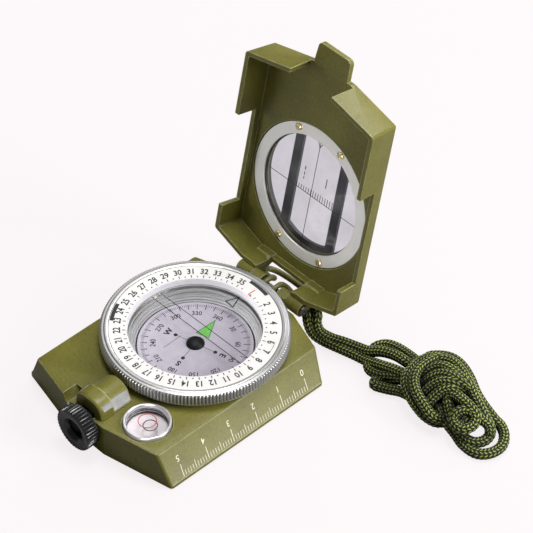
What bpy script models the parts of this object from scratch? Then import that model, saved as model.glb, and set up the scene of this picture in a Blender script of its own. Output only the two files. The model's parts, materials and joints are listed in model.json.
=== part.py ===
"""Sighting compass: base casting with sloping sides, bezel over a compass capsule,
focusing eyepiece with prism, level vial, hinged sighting cover standing open, wire
thumb loop and a cord lanyard.

Frame: origin on the dial axis in the underside plane, +Z up.  The eyepiece is at the
front (-Y), the hinge at the rear (+Y), and +X is the right-hand side.
Sizes are in millimetres and degrees; meshes are scaled to metres when they are made."""

import math

import bmesh
import bpy
from mathutils import Matrix, Vector

MM = 0.001
FINE, MEDIUM, COARSE = 48, 28, 14   # steps round a lathed piece
SCREW_HOLE_STEPS = 12
CORNER_POINTS = 4                   # points on each rounded corner of an outline

# base outline at the top face, shared with the cover
BASE_H = 11.9
TOP_HALF_W = 26.6
FRONT_SIDE_Y = -39.5     # where side and front chamfer meet
FRONT_MID_X, FRONT_MID_Y = 7.6, -43.7      # end of the flat front land
REAR_SIDE_Y = 24.3       # where side and rear chamfer meet
REAR_MID_X, REAR_MID_Y = 12.2, 29.0        # end of the flat rear land

# parts that fit one another
BEZEL_R = 28.76
EYE_Z = 8.4              # height of the eyepiece axis
LEVEL_X, LEVEL_Y, LEVEL_R = 15.3, -33.0, 7.3
HINGE_Y, HINGE_Z = 31.5, 12.7
PIN_R = 0.8
PIN_HOLE_R = PIN_R + 0.15
KNUCKLE_R = 2.3
WIRE_R = 0.95            # the thumb loop
EYE_WIRE_R = 0.75        # the loop's thinner eyes round the pin
EYE_COIL_R = 1.7


# ----------------------------------------------------------------- materials
def material(name, color, roughness, metallic=0.0, transmission=0.0):
    mat = bpy.data.materials.new(name)
    mat.use_nodes = True
    shader = mat.node_tree.nodes["Principled BSDF"]
    shader.inputs["Base Color"].default_value = (*color, 1.0)
    shader.inputs["Roughness"].default_value = roughness
    shader.inputs["Metallic"].default_value = metallic
    shader.inputs["Transmission Weight"].default_value = transmission
    mat.diffuse_color = (*color, 1.0)
    return mat


OLIVE = material("olive_paint", color=(0.105, 0.115, 0.028), roughness=0.42, metallic=0.1)
SILVER = material("anodised_aluminium", color=(0.72, 0.73, 0.72), roughness=0.3, metallic=1.0)
WHITE = material("dial_white", color=(0.82, 0.82, 0.8), roughness=0.5)
LILAC = material("card_lilac", color=(0.6, 0.57, 0.62), roughness=0.5)
BLACK = material("black_plastic", color=(0.015, 0.015, 0.016), roughness=0.4)
CLEAR = material("clear_glass", color=(0.9, 0.92, 0.93), roughness=0.05, transmission=0.9)
BRASS = material("brass", color=(0.75, 0.62, 0.32), roughness=0.3, metallic=1.0)
STEEL = material("steel", color=(0.5, 0.5, 0.5), roughness=0.35, metallic=1.0)
RUBBER = material("rubber", color=(0.03, 0.03, 0.03), roughness=0.8)
DARK = material("dark_grey_frame", color=(0.08, 0.085, 0.09), roughness=0.5)
CORD = material("braided_cord", color=(0.05, 0.075, 0.02), roughness=0.85)


# ------------------------------------------------------------------- objects
def add(name, shape, mat, parent=None, origin=(0, 0, 0), smooth=True):
    """Make an object from a bmesh in mm, drawn in the parent's frame if it has one."""
    bmesh.ops.remove_doubles(shape, verts=shape.verts, dist=1e-4)
    bmesh.ops.recalc_face_normals(shape, faces=shape.faces)
    shift = Vector(origin)
    shape.transform(Matrix.Scale(MM, 4) @ Matrix.Translation(-shift))
    mesh = bpy.data.meshes.new(name)
    shape.to_mesh(mesh)
    shape.free()
    if mat:
        mesh.materials.append(mat)
    obj = bpy.data.objects.new(name, mesh)
    bpy.context.scene.collection.objects.link(obj)
    obj.location = shift * MM
    obj.parent = parent
    if smooth:
        mesh.shade_smooth()
        mesh.set_sharp_from_angle(angle=math.radians(35))
    return obj


def combine(target, name, shape, operation):
    """Boolean the target with a hidden helper drawn in the same frame."""
    helper = add(name, shape, None, parent=target.parent, smooth=False)
    helper.hide_render = True
    helper.display_type = "WIRE"
    mod = target.modifiers.new(operation.lower() + "_" + name, "BOOLEAN")
    mod.operation = operation
    mod.object = helper
    mod.solver = "EXACT"


def cut(target, name, shape):
    combine(target, name, shape, "DIFFERENCE")


def fuse(target, name, shape):
    combine(target, name, shape, "UNION")


# -------------------------------------------------------------------- shapes
def moved(shape, x=0.0, y=0.0, z=0.0):
    shape.transform(Matrix.Translation((x, y, z)))
    return shape


def lathe(profile, steps):
    """Spin a (radius, height) profile about Z.
    A profile that starts on the axis also ends there; any other is closed up."""
    shape = bmesh.new()
    verts = [shape.verts.new((radius, 0, height)) for radius, height in profile]
    edges = [shape.edges.new(pair) for pair in zip(verts, verts[1:])]
    if profile[0][0] != 0:
        edges.append(shape.edges.new((verts[-1], verts[0])))
    bmesh.ops.spin(shape, geom=verts + edges, cent=(0, 0, 0), axis=(0, 0, 1),
                   angle=2 * math.pi, steps=steps)
    bmesh.ops.remove_doubles(shape, verts=shape.verts, dist=1e-4)
    return shape


def rod(radius, bottom, top, steps):
    return lathe([(0, top), (radius, top), (radius, bottom), (0, bottom)], steps)


def tube(inner, outer, bottom, top, steps):
    return lathe([(outer, top), (outer, bottom), (inner, bottom), (inner, top)], steps)


def along_y(shape, z):
    """Lay a lathed piece along Y at this height: its height becomes y."""
    shape.transform(Matrix.Rotation(math.radians(-90), 4, "X"))
    return moved(shape, z=z)


def along_x(shape, y, z):
    shape.transform(Matrix.Rotation(math.radians(90), 4, "Y"))
    return moved(shape, y=y, z=z)


def skin(shape, rings):
    """Bridge rings of verts and cap both ends."""
    for lower, upper in zip(rings, rings[1:]):
        for i in range(len(lower)):
            j = (i + 1) % len(lower)
            shape.faces.new((lower[i], lower[j], upper[j], upper[i]))
    shape.faces.new(rings[0])
    shape.faces.new(rings[-1])
    return shape


def loft(sections):
    """Bridge equal point loops into one capped solid."""
    shape = bmesh.new()
    return skin(shape, [[shape.verts.new(p) for p in section] for section in sections])


def prism(outline, start, end, plane="XY"):
    """Extrude an outline; plane names its two axes, start and end lie on the third."""
    def at(u, v, depth):
        return {"XY": (u, v, depth), "YZ": (depth, u, v), "XZ": (u, depth, v)}[plane]
    return loft([[at(u, v, depth) for u, v in outline] for depth in (start, end)])


def box(half_x, y0, y1, z0, z1):
    return prism([(-half_x, y0), (half_x, y0), (half_x, y1), (-half_x, y1)], z0, z1)


def sweep(path, radii, steps, flatness=None):
    """Tube along path with parallel-transported rings and flat ends.
    flatness: a height factor per point, for an oval section with its short side up."""
    shape = bmesh.new()
    points = [Vector(p) for p in path]
    rings = []
    side = None
    for i, point in enumerate(points):
        ahead = points[min(i + 1, len(points) - 1)]
        tangent = (ahead - points[max(i - 1, 0)]).normalized()
        if flatness:
            side = tangent.cross(Vector((0, 0, 1))).normalized()
        elif side is None:
            side = tangent.orthogonal().normalized()
        else:
            side = (side - tangent * side.dot(tangent)).normalized()
        up = side.cross(tangent).normalized()
        width = radii[i]
        height = width * flatness[i] if flatness else width
        angles = [2 * math.pi * k / steps for k in range(steps)]
        rings.append([
            shape.verts.new(point + side * (width * math.cos(a)) + up * (height * math.sin(a)))
            for a in angles])
    return skin(shape, rings)


# ------------------------------------------------------- outlines and curves
def polar(radius, degrees):
    angle = math.radians(degrees)
    return radius * math.cos(angle), radius * math.sin(angle)


def offset(outline, inset):
    """Move every edge of a counter-clockwise convex outline inwards."""
    corners = [Vector(p) for p in outline]
    if not inset:
        return corners
    edges = []
    for start, end in zip(corners, corners[1:] + corners[:1]):
        along = (end - start).normalized()
        edges.append((start + Vector((-along.y, along.x)) * inset, along))
    result = []
    for i, (point, along) in enumerate(edges):
        last_point, last_along = edges[i - 1]
        reach = (point - last_point).cross(along) / last_along.cross(along)
        result.append(last_point + last_along * reach)
    return result


def rounded(outline, radius):
    """Replace each corner by an arc."""
    result = []
    for i, point in enumerate(outline):
        corner = Vector(point)
        back = (Vector(outline[i - 1]) - corner).normalized()
        ahead = (Vector(outline[(i + 1) % len(outline)]) - corner).normalized()
        half = 0.5 * back.angle(ahead)
        reach = radius / math.tan(half)
        centre = corner + (back + ahead).normalized() * (radius / math.sin(half))
        first = corner + back * reach - centre
        last = corner + ahead * reach - centre
        turn = 1 if first.x * last.y - first.y * last.x > 0 else -1
        for k in range(CORNER_POINTS):
            angle = turn * (math.pi - 2 * half) * k / (CORNER_POINTS - 1)
            cos, sin = math.cos(angle), math.sin(angle)
            spoke = Vector((first.x * cos - first.y * sin, first.x * sin + first.y * cos))
            result.append(centre + spoke)
    return result


def catmull(points, per_span):
    """Catmull-Rom path through points of any dimension."""
    def beyond(end, inner):
        return tuple(2 * a - b for a, b in zip(end, inner))

    extended = [beyond(points[0], points[1]), *points, beyond(points[-1], points[-2])]
    result = []
    for i in range(1, len(extended) - 2):
        for k in range(per_span):
            t = k / per_span
            result.append(tuple(
                0.5 * (2 * b + (c - a) * t + (2 * a - 5 * b + 4 * c - d) * t * t
                       + (3 * b - a - 3 * c + d) * t ** 3)
                for a, b, c, d in zip(*extended[i - 1:i + 3])))
    result.append(points[-1])
    return result


def hinge_arc(start, count, y=0.0, z=0.0):
    """Knuckle outline: count points, 15 degrees apart, running down from start."""
    points = [polar(KNUCKLE_R, start - 15 * k) for k in range(count)]
    return [(y + dy, z + dz) for dy, dz in points]


def fuse_pair(target, name, outline, span):
    """Fuse a YZ outline to the target on both sides, over this span of x."""
    for side in (-1, 1):
        shape = prism(outline, *sorted(side * x for x in span), "YZ")
        fuse(target, f"{name}{side:+d}", shape)


# ---------------------------------------------------------------------- base
FOOT_HALF_W = 31.13      # where the side slope meets the foot lip
LIP_HALF_W, LIP_H = 31.6, 1.5
LIP_STEP = 0.4           # height of the step from the lip to the slope
LIP_EDGE = 0.45
EDGE_R = 0.5             # rounding of the top edge
CORNER_R, MIN_CORNER_R = 1.1, 0.25
SIDE_SLOPE = (FOOT_HALF_W - TOP_HALF_W) / (BASE_H - LIP_H - LIP_STEP)
PLATE_T = 1.5
PLATE_INSET = 1.9
PLATE_CORNER_R = 0.8
PLATE_SCREWS = [(x, y) for y in (-34.2, 20.4) for x in (23.6, -23.6)]


def plan(half_w, inset=0.0):
    """Outline of the base at a level where its sides are half_w from the middle."""
    front_slope = (FRONT_SIDE_Y - FRONT_MID_Y) / (TOP_HALF_W - FRONT_MID_X)
    rear_slope = (REAR_SIDE_Y - REAR_MID_Y) / (TOP_HALF_W - REAR_MID_X)
    front = FRONT_SIDE_Y + front_slope * (half_w - TOP_HALF_W)
    rear = REAR_SIDE_Y + rear_slope * (half_w - TOP_HALF_W)
    return offset([
        (half_w, front), (half_w, rear), (REAR_MID_X, REAR_MID_Y), (-REAR_MID_X, REAR_MID_Y),
        (-half_w, rear), (-half_w, front), (-FRONT_MID_X, FRONT_MID_Y),
        (FRONT_MID_X, FRONT_MID_Y)], inset)


def plan_section(half_w, z, inset=0.0):
    outline = rounded(plan(half_w, inset), max(CORNER_R - inset, MIN_CORNER_R))
    return [(p.x, p.y, z) for p in outline]


def slope_section(z, inset=0.0):
    return plan_section(TOP_HALF_W + SIDE_SLOPE * (BASE_H - z), z, inset)


def plate_outline(inset):
    return rounded(plan(LIP_HALF_W, inset), PLATE_CORNER_R)


def build_base():
    base = add("base_body", loft([
        plan_section(LIP_HALF_W, 0.0, LIP_EDGE),
        plan_section(LIP_HALF_W, LIP_EDGE),
        plan_section(LIP_HALF_W, LIP_H),
        slope_section(LIP_H + LIP_STEP),
        slope_section(BASE_H - EDGE_R),
        slope_section(BASE_H - 0.15, 0.14),
        plan_section(TOP_HALF_W, BASE_H, EDGE_R),
    ]), OLIVE)
    # spigot the bezel turns on
    fuse(base, "h_boss", tube(22.0, 24.3, BASE_H - 1.0, 13.1, FINE))
    cut_base_hinge(base)
    cut_base_wells(base)
    for n, (x, y) in enumerate(PLATE_SCREWS, 1):
        cut(base, f"c_screw{n}", moved(rod(1.05, -1, 6.2, SCREW_HOLE_STEPS), x, y))


def cut_base_hinge(base):
    """Two knuckles, each with a web into the rear face, and their bores."""
    web = [(REAR_MID_Y - 1.5, HINGE_Z - KNUCKLE_R), (REAR_MID_Y - 1.5, BASE_H - 0.9),
           (REAR_MID_Y - 0.3, BASE_H - 0.05), (REAR_MID_Y + 0.5, HINGE_Z + KNUCKLE_R - 0.6)]
    fuse_pair(base, "h_knuckle", hinge_arc(90, 13, HINGE_Y, HINGE_Z) + web, (3.8, 7.5))
    cut(base, "c_pin", along_x(rod(PIN_HOLE_R, -9, 9, COARSE), HINGE_Y, HINGE_Z))
    relief_r = EYE_COIL_R + EYE_WIRE_R + 0.35
    cut(base, "c_wire_relief", along_x(rod(relief_r, -3.4, 3.4, MEDIUM), HINGE_Y, HINGE_Z))


def cut_base_wells(base):
    """Openings for the capsule, plate, eyepiece, prism and level, and the scoop."""
    cut(base, "c_well", rod(23.6, -1, 9.9, FINE))
    cut(base, "c_mouth", rod(21.4, 5, 16, FINE))
    cut(base, "c_plate_seat", prism(plate_outline(PLATE_INSET - 0.3), -1.0, PLATE_T + 0.2))
    cut(base, "c_eye_bore", along_y(rod(4.6, -50, -33, MEDIUM), EYE_Z))
    cut(base, "c_prism_pocket", box(4.2, -36.8, -30.6, 4.0, 14))

    # round scoop in the front edge of the top face, on the -X side of the eyepiece
    scoop_x, scoop_z, scoop_r = -6.4, 14.4, 5.1
    arc = [polar(scoop_r, 7 + 7.5 * k) for k in range(12)]
    scoop = [(scoop_x - sin, scoop_z - cos) for cos, sin in arc] + [(-11.5, 17.0), (-7.02, 17.0)]
    cut(base, "c_relief", prism(scoop, -47, -37.6, "XZ"))
    cut(base, "c_level_seat", moved(rod(LEVEL_R + 0.25, 8.5, 15, MEDIUM), LEVEL_X, LEVEL_Y))


def build_bottom_plate():
    """Plate in the underside with a round rib above it and four sunk screws."""
    # (radius, height) profiles
    sink = [(0, 3), (1.1, 3), (1.1, 0.95), (2.25, 0.95), (2.25, -1), (0, -1)]
    screw = [(0, 5.6), (0.8, 5.6), (0.8, 0.8), (1.95, 0.8), (1.95, 0.25), (1.6, 0.1), (0, 0.1)]
    plate = add("bottom_plate", prism(plate_outline(PLATE_INSET), 0.0, PLATE_T), OLIVE)
    fuse(plate, "h_plate_rib", tube(12.0, 14.0, 0.5, 4.7, MEDIUM))
    for n, (x, y) in enumerate(PLATE_SCREWS, 1):
        cut(plate, f"c_plate_sink{n}", moved(lathe(sink, COARSE), x, y))
        add(f"bottom_plate_screw_{n}", moved(lathe(screw, COARSE), x, y), STEEL)


# ------------------------------------------------------- eyepiece and prism
HOUSE_R, HOUSE_Z = 5.9, 11.7     # arched back of the housing and its centre height
HOUSE_FOOT = 12.1
HOUSE_WALL = 1.3
HOUSE_FRONT, HOUSE_STEP, HOUSE_REAR = -42.4, -37.5, -30.4
ARCH_ANGLES = (8, 18, 28, 38, 48, 60, 70, 80, 90)
KNOB_R, KNOB_FRONT, KNOB_REAR = 7.0, -48.9, -44.2


def arch(radius, y, faceted=False, foot=HOUSE_FOOT):
    """Arched section at this y; faceted planes a flat on each shoulder."""
    half = [Vector(polar(radius, angle)) for angle in ARCH_ANGLES]
    if faceted:
        low, high = half[0], half[4]
        half[1:4] = [low.lerp(high, k / 4) for k in (1, 2, 3)]
    right = [(half[0].x, foot)] + [(p.x, HOUSE_Z + p.y) for p in half]
    left = [(-x, z) for x, z in right[-2::-1]]
    return [(x, y, z) for x, z in right + left]


def build_prism_housing():
    # how far the radius is drawn in, y, faceted
    stations = [
        (0.45, HOUSE_FRONT, False), (0.12, HOUSE_FRONT + 0.15, False),
        (0.0, HOUSE_FRONT + 0.5, False), (0.0, HOUSE_STEP, False),
        (0.12, HOUSE_STEP + 0.12, True), (0.12, HOUSE_REAR - 0.4, True),
        (0.25, HOUSE_REAR - 0.1, True), (0.55, HOUSE_REAR, True)]
    house = add("prism_housing", loft([
        arch(HOUSE_R - inset, y, faceted) for inset, y, faceted in stations]), OLIVE)
    cut(house, "c_house_sleeve", box(2.7, -50, -35, 10, 13.0))
    cut(house, "c_house_hollow", loft([
        arch(HOUSE_R - HOUSE_WALL, y, foot=10.0) for y in (HOUSE_FRONT + 1.3, HOUSE_REAR - 1.2)]))
    cut(house, "c_house_sight", box(2.4, HOUSE_REAR - 2, HOUSE_REAR + 1, 13.2, 15.0))


def build_prism():
    outline = [(-36.1, 4.9), (-31.9, 9.1), (-31.9, 14.8), (-36.1, 14.8)]   # y, z
    add("prism", prism(outline, -2.8, 2.8, "YZ"), CLEAR, smooth=False)


def build_eyepiece():
    """Sleeve, focusing knob, lens cell and lens, all on one axis along Y."""
    eye = (0, 0, EYE_Z)
    add("eyepiece_sleeve", along_y(tube(3.6, 4.3, -46.6, -37.2, MEDIUM), EYE_Z), BLACK)
    knob = [   # radius, y
        (KNOB_R, KNOB_REAR), (KNOB_R, KNOB_FRONT + 0.5), (KNOB_R - 0.5, KNOB_FRONT),
        (4.0, KNOB_FRONT), (3.0, KNOB_FRONT + 1.3), (3.0, KNOB_FRONT + 1.8),
        (4.7, KNOB_FRONT + 1.8), (4.7, KNOB_REAR)]
    add("focus_knob", along_y(lathe(knob, MEDIUM), EYE_Z), BLACK, origin=eye)
    add("lens_cell", along_y(tube(2.6, 3.3, -42.6, -39.6, MEDIUM), EYE_Z), BLACK, origin=eye)
    lens_r, lens_half_t, lens_y = 2.4, 0.75, -41.1
    lens = [(lens_r * sin, lens_half_t * cos) for cos, sin in
            (polar(1, 30 * k) for k in range(7))]
    add("eyepiece_lens", along_y(moved(lathe(lens, 18), z=lens_y), EYE_Z), CLEAR, origin=eye)


# ------------------------------------------- level, capsule, card and bezel
BEZEL_BOTTOM, BEZEL_TOP = 12.5, 18.0
GRIP_BOTTOM, GRIP_TOP = 13.8, 17.1     # widest band; below it the ring steps in
SCALE_R0, SCALE_R1, SCALE_TOP = 20.4, 24.9, 17.7

# (radius, height) profiles
LEVEL_CUP = [
    (LEVEL_R, 12.7), (LEVEL_R, 8.8), (1.0, 8.8), (1.0, 9.5), (6.3, 9.5), (6.3, 12.2),
    (6.7, 12.9), (7.1, 12.9)]
LEVEL_VIAL = [
    (0, 14.3), (2.2, 14.15), (4.1, 13.6), (5.4, 12.8), (6.05, 11.8), (6.05, 9.7), (0, 9.7)]
CAPSULE_BOWL = [
    (0, 6.4), (18.0, 6.4), (18.0, 10.2), (18.5, 10.2), (18.5, 11.1), (19.2, 11.1),
    (19.2, 11.9), (20.0, 11.9), (20.0, 13.0), (21.0, 13.0), (21.0, 8.9), (23.2, 8.9),
    (23.2, 7.6), (20.9, 7.6), (20.9, 5.0), (0, 5.0)]
PIVOT_PIN = [(0, 10.2), (0.25, 10.1), (0.9, 9.0), (0.9, 6.6), (0, 6.6)]
CARD_HUB = [
    (0, 11.7), (1.3, 11.55), (2.2, 11.1), (2.6, 10.6), (1.75, 10.6), (1.75, 8.7),
    (1.35, 8.7), (0.5, 10.3), (0, 10.5)]
BEZEL_RING = [
    (27.4, GRIP_BOTTOM), (BEZEL_R, GRIP_BOTTOM), (BEZEL_R, GRIP_TOP), (28.5, 17.4),
    (27.6, BEZEL_TOP), (25.5, BEZEL_TOP), (25.2, 17.75), (25.2, 16.95), (21.25, 16.95),
    (21.25, 14.75), (20.6, 14.75), (20.6, 13.85), (19.8, 13.85), (19.8, 13.3),
    (25.9, 13.3), (25.9, BEZEL_BOTTOM), (27.4, BEZEL_BOTTOM)]
# a flat face with a skirt that runs down towards the window
SCALE_RING = [
    (SCALE_R0, SCALE_TOP), (SCALE_R1, SCALE_TOP), (SCALE_R1, 17.25), (20.95, 17.25),
    (20.95, 15.05), (SCALE_R0, 15.05)]


def build_level():
    add("level_cup", moved(lathe(LEVEL_CUP, MEDIUM), LEVEL_X, LEVEL_Y), SILVER)
    add("level_vial", moved(lathe(LEVEL_VIAL, MEDIUM), LEVEL_X, LEVEL_Y), CLEAR)


def build_capsule():
    add("capsule_bowl", lathe(CAPSULE_BOWL, FINE), SILVER)
    add("capsule_gasket", tube(21.7, 23.3, 9.1, 9.7, steps=36), RUBBER)
    add("capsule_glass", rod(19.8, 12.0, 12.75, FINE), CLEAR)


def build_card():
    add("pivot_pin", lathe(PIVOT_PIN, steps=16), STEEL)
    add("card_hub", lathe(CARD_HUB, steps=18), BLACK)
    add("compass_card", tube(1.95, 17.6, 10.0, 10.45, FINE), LILAC)
    add("card_magnet", tube(3.5, 7.0, 9.0, 9.8, steps=24), STEEL)


def build_bezel():
    add("bezel_ring", lathe(BEZEL_RING, steps=56), SILVER)
    add("bezel_scale_ring", lathe(SCALE_RING, steps=56), WHITE)
    add("bezel_window", rod(20.3, 14.0, 14.75, FINE), CLEAR)
    add("bezel_spring", tube(24.65, 25.6, 12.2, 12.9, steps=36), STEEL)


# --------------------------------------------------------------------- cover
# Drawn closed, relative to the hinge axis; +Z is then the outer face's side.
COVER_OPEN = 101.75      # opening angle, 0 is closed
COVER_RIM, COVER_IN, COVER_OUT = -0.2, 8.7, 10.9   # heights over the hinge axis
COVER_WALL = 1.4
COVER_DRAFT = 1.0        # each side wall leans in by this much at the outer face
COVER_REAR_X, COVER_REAR_Y = 14.2, 28.9
TAB_X, TAB_FRONT, TAB_ROOT = 6.0, -50.0, -42
SIGHT = (0, 0.3 - HINGE_Y)    # centre of the sighting window
RING_SCREW_R, RING_SCREW_A = 21.7, 66.0


def lid_section(z, inset=0.0, corner=1.1):
    half_w = TOP_HALF_W - COVER_DRAFT * max(z, 0) / COVER_OUT
    rear = REAR_SIDE_Y + 0.9
    outline = [
        (half_w, FRONT_SIDE_Y), (half_w, rear), (COVER_REAR_X, COVER_REAR_Y),
        (-COVER_REAR_X, COVER_REAR_Y), (-half_w, rear), (-half_w, FRONT_SIDE_Y),
        (-FRONT_MID_X, FRONT_MID_Y), (FRONT_MID_X, FRONT_MID_Y)]
    outline = offset([(x, y - HINGE_Y) for x, y in outline], inset)
    return [(p.x, p.y, z) for p in rounded(outline, max(corner - inset, 0.3))]


def tab_section(z, inset=0.0, corner=1.6):
    x = TAB_X - inset
    front, root = TAB_FRONT + inset - HINGE_Y, TAB_ROOT - HINGE_Y
    outline = rounded([(x, root), (x, front), (-x, front), (-x, root)], corner)
    return [(p.x, p.y, z) for p in outline]


def build_cover_axis():
    axis = bpy.data.objects.new("cover_axis", None)
    axis.empty_display_size = 0.01
    bpy.context.scene.collection.objects.link(axis)
    axis.location = Vector((0, HINGE_Y, HINGE_Z)) * MM
    axis.rotation_euler = (math.radians(-COVER_OPEN), 0, 0)
    return axis


def build_cover(axis):
    cover = add("cover", loft([
        lid_section(COVER_RIM), lid_section(COVER_OUT - 0.7),
        lid_section(COVER_OUT - 0.2, 0.2), lid_section(COVER_OUT, 0.7)]), OLIVE, axis)
    cut(cover, "c_lid_hollow", loft([
        lid_section(z, COVER_WALL, corner=2.4) for z in (-2.0, COVER_IN)]))
    # notches in the side, front and rear walls
    cut(cover, "c_lid_notch", box(32, -17.3 - HINGE_Y, 16.2 - HINGE_Y, -3, 6.6))
    cut(cover, "c_lid_front", box(8.6, -50 - HINGE_Y, -41.0 - HINGE_Y, -3, COVER_IN))
    cut(cover, "c_lid_rear", box(7.65, 24.0 - HINGE_Y, 32.0 - HINGE_Y, -3, 4.9))
    # room for the bezel when the cover is shut
    cut(cover, "c_lid_bezel", moved(rod(BEZEL_R + 0.35, -3, 5.8, FINE), y=-HINGE_Y))
    # tab that the hand opens the cover by
    fuse(cover, "h_tab", loft([
        tab_section(COVER_IN + 0.05), tab_section(COVER_OUT - 0.55),
        tab_section(COVER_OUT - 0.03, inset=0.5, corner=1.2)]))
    # hinge arms and their bore
    arm = hinge_arc(50, 16) + [
        (-KNUCKLE_R, 4.4), (-4.3, 6.1), (-4.3, COVER_IN + 0.6), (-2.8, COVER_IN + 0.6)]
    fuse_pair(cover, "h_arm", arm, (7.7, 13.5))
    cut(cover, "c_lid_pin", along_x(rod(PIN_HOLE_R, -20, 20, COARSE), 0, 0))
    # window, glass seat and ring seat: radius, height
    window = [
        (0, 12), (19.0, 12), (19.0, 10.45), (20.9, 10.45), (20.9, 9.75), (23.5, 9.75),
        (23.5, 7), (0, 7)]
    cut(cover, "c_sight", moved(lathe(window, FINE), *SIGHT))
    return cover


def build_cover_glass(axis, cover):
    """Glass, and the ring that holds it with four screws."""
    add("cover_glass", moved(rod(20.6, 9.8, 10.3, FINE), *SIGHT), CLEAR, axis)
    ring = add("glass_retaining_ring", moved(tube(19.4, 23.2, 9.05, 9.62, FINE), *SIGHT),
               SILVER, axis)
    screw = [   # radius, height
        (0, 10.4), (0.55, 10.4), (0.55, 8.95), (1.15, 8.95), (1.15, 8.6), (0.9, 8.4), (0, 8.4)]
    angles = (RING_SCREW_A, 180 - RING_SCREW_A, 180 + RING_SCREW_A, -RING_SCREW_A)
    for n, angle in enumerate(angles, 1):
        x, y = polar(RING_SCREW_R, angle)
        y += SIGHT[1]
        cut(cover, f"c_lid_screw{n}", moved(rod(0.7, 9.0, 10.5, SCREW_HOLE_STEPS), x, y))
        cut(ring, f"c_ring_screw{n}", moved(rod(0.7, 8.5, 10.2, SCREW_HOLE_STEPS), x, y))
        add(f"ring_screw_{n}", moved(lathe(screw, COARSE), x, y), BRASS, axis)


def build_sight_frame(axis):
    """Ring with two upright bars, on the outside of the cover."""
    bar_x, bar_half_w, bar_half_l = 9.6, 1.6, 18.4
    frame = add("sight_frame", moved(tube(19.6, 21.2, 11.1, 12.5, FINE), *SIGHT), DARK, axis)
    for side in (-1, 1):
        bar = box(bar_half_w, -bar_half_l, bar_half_l, 11.3, 12.3)
        fuse(frame, f"h_bar{side:+d}", moved(bar, side * bar_x, SIGHT[1]))


# ---------------------------------------------- hinge pin, loop and lanyard
DROOP = math.radians(28)  # the loop hangs this far below level
# wire from the pin to the far arc: x, distance from the pin
LOOP = [(5.4, 4.7), (8.2, 5.2), (9.6, 6.9), (9.4, 9.3), (7.4, 11.0), (3.8, 11.8)]
LANYARD = [   # x, y, half width, half height, height of the middle
    (13.6, 37.4, 2.3, 2.3, 7.4), (14.2, 35.6, 2.7, 2.6, 5.6), (15.6, 34.5, 3.0, 2.8, 3.7),
    (18.6, 34.6, 3.2, 2.4, 3.0), (23.4, 35.8, 3.3, 2.1, 2.8), (30.2, 37.4, 3.4, 2.1, 2.6),
    (34.5, 38.4, 4.6, 2.6, 2.9), (38.5, 39.2, 6.2, 3.2, 3.5), (42.0, 39.7, 6.6, 3.6, 3.9),
    (46.0, 40.2, 6.0, 4.0, 4.3), (50.0, 40.8, 7.4, 5.2, 5.6), (55.2, 41.5, 9.8, 6.8, 7.2),
    (61.5, 42.0, 10.6, 7.4, 7.8), (67.5, 42.0, 9.4, 6.6, 7.0), (72.5, 41.4, 8.0, 5.4, 5.8),
    (77.5, 41.2, 7.2, 3.4, 3.8), (82.5, 41.4, 6.4, 2.2, 2.5), (88.0, 42.0, 3.2, 1.7, 1.9)]


def build_hinge_pin():
    pin = [   # radius, x
        (0, 14.4), (1.3, 14.4), (1.65, 14.1), (1.65, 13.75), (PIN_R, 13.75), (PIN_R, -13.6),
        (0, -13.6)]
    add("hinge_pin", along_x(lathe(pin, COARSE), HINGE_Y, HINGE_Z), STEEL)


def hung(x, reach):
    """A point at this distance from the pin, in the drooping plane."""
    return x, HINGE_Y + reach * math.cos(DROOP), HINGE_Z - reach * math.sin(DROOP)


def loop_side(side):
    """Half of the wire as (x, y, z, radius), from its eye round to the far arc."""
    points = []
    for k in range(8):   # from below the pin, round its -Y side, to the top
        dy, dz = polar(EYE_COIL_R, 300 - 30 * k)
        points.append((side * 2.0, HINGE_Y + dy, HINGE_Z + dz, EYE_WIRE_R))
    points.append((side * 2.1, HINGE_Y + 2.0, HINGE_Z + 1.3, WIRE_R))
    points.append((side * 2.9, HINGE_Y + 3.7, HINGE_Z - 0.6, WIRE_R))
    return points + [(*hung(side * x, reach), WIRE_R) for x, reach in LOOP]


def build_thumb_loop():
    wire = loop_side(-1) + [(*hung(0, 12.0), WIRE_R)] + loop_side(1)[::-1]
    wire = catmull(wire, per_span=2)
    shape = sweep([point[:3] for point in wire], [point[3] for point in wire], steps=8)
    add("thumb_loop", shape, OLIVE, origin=(0, HINGE_Y, HINGE_Z))


def build_lanyard_hitch():
    """A ring of cord round the wire near its +X corner."""
    cord_r, clearance = 1.3, 0.35
    centre = Vector(hung(9.3, 9.5))
    axis = (Vector(hung(*LOOP[4])) - Vector(hung(*LOOP[2]))).normalized()
    section = [(WIRE_R + clearance + cord_r * (1 + cos), cord_r * sin) for cos, sin in
               (polar(1, -45 * k) for k in range(8))]
    hitch = lathe(section, steps=20)
    hitch.transform(axis.to_track_quat("Z", "Y").to_matrix().to_4x4())
    add("lanyard_hitch", moved(hitch, *centre), CORD, origin=centre)


def build_lanyard():
    cord = catmull(LANYARD, per_span=2)
    shape = sweep([(x, y, z) for x, y, _, _, z in cord], [station[2] for station in cord],
                  steps=10, flatness=[half_h / half_w for _, _, half_w, half_h, _ in cord])
    add("lanyard", shape, CORD, origin=(12.6, 38.0, 7.6))


def main():
    for old in list(bpy.data.objects):
        bpy.data.objects.remove(old, do_unlink=True)
    build_base()
    build_bottom_plate()
    build_prism_housing()
    build_prism()
    build_eyepiece()
    build_level()
    build_capsule()
    build_card()
    build_bezel()
    axis = build_cover_axis()
    cover = build_cover(axis)
    build_cover_glass(axis, cover)
    build_sight_frame(axis)
    build_hinge_pin()
    build_thumb_loop()
    build_lanyard_hitch()
    build_lanyard()


main()
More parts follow.
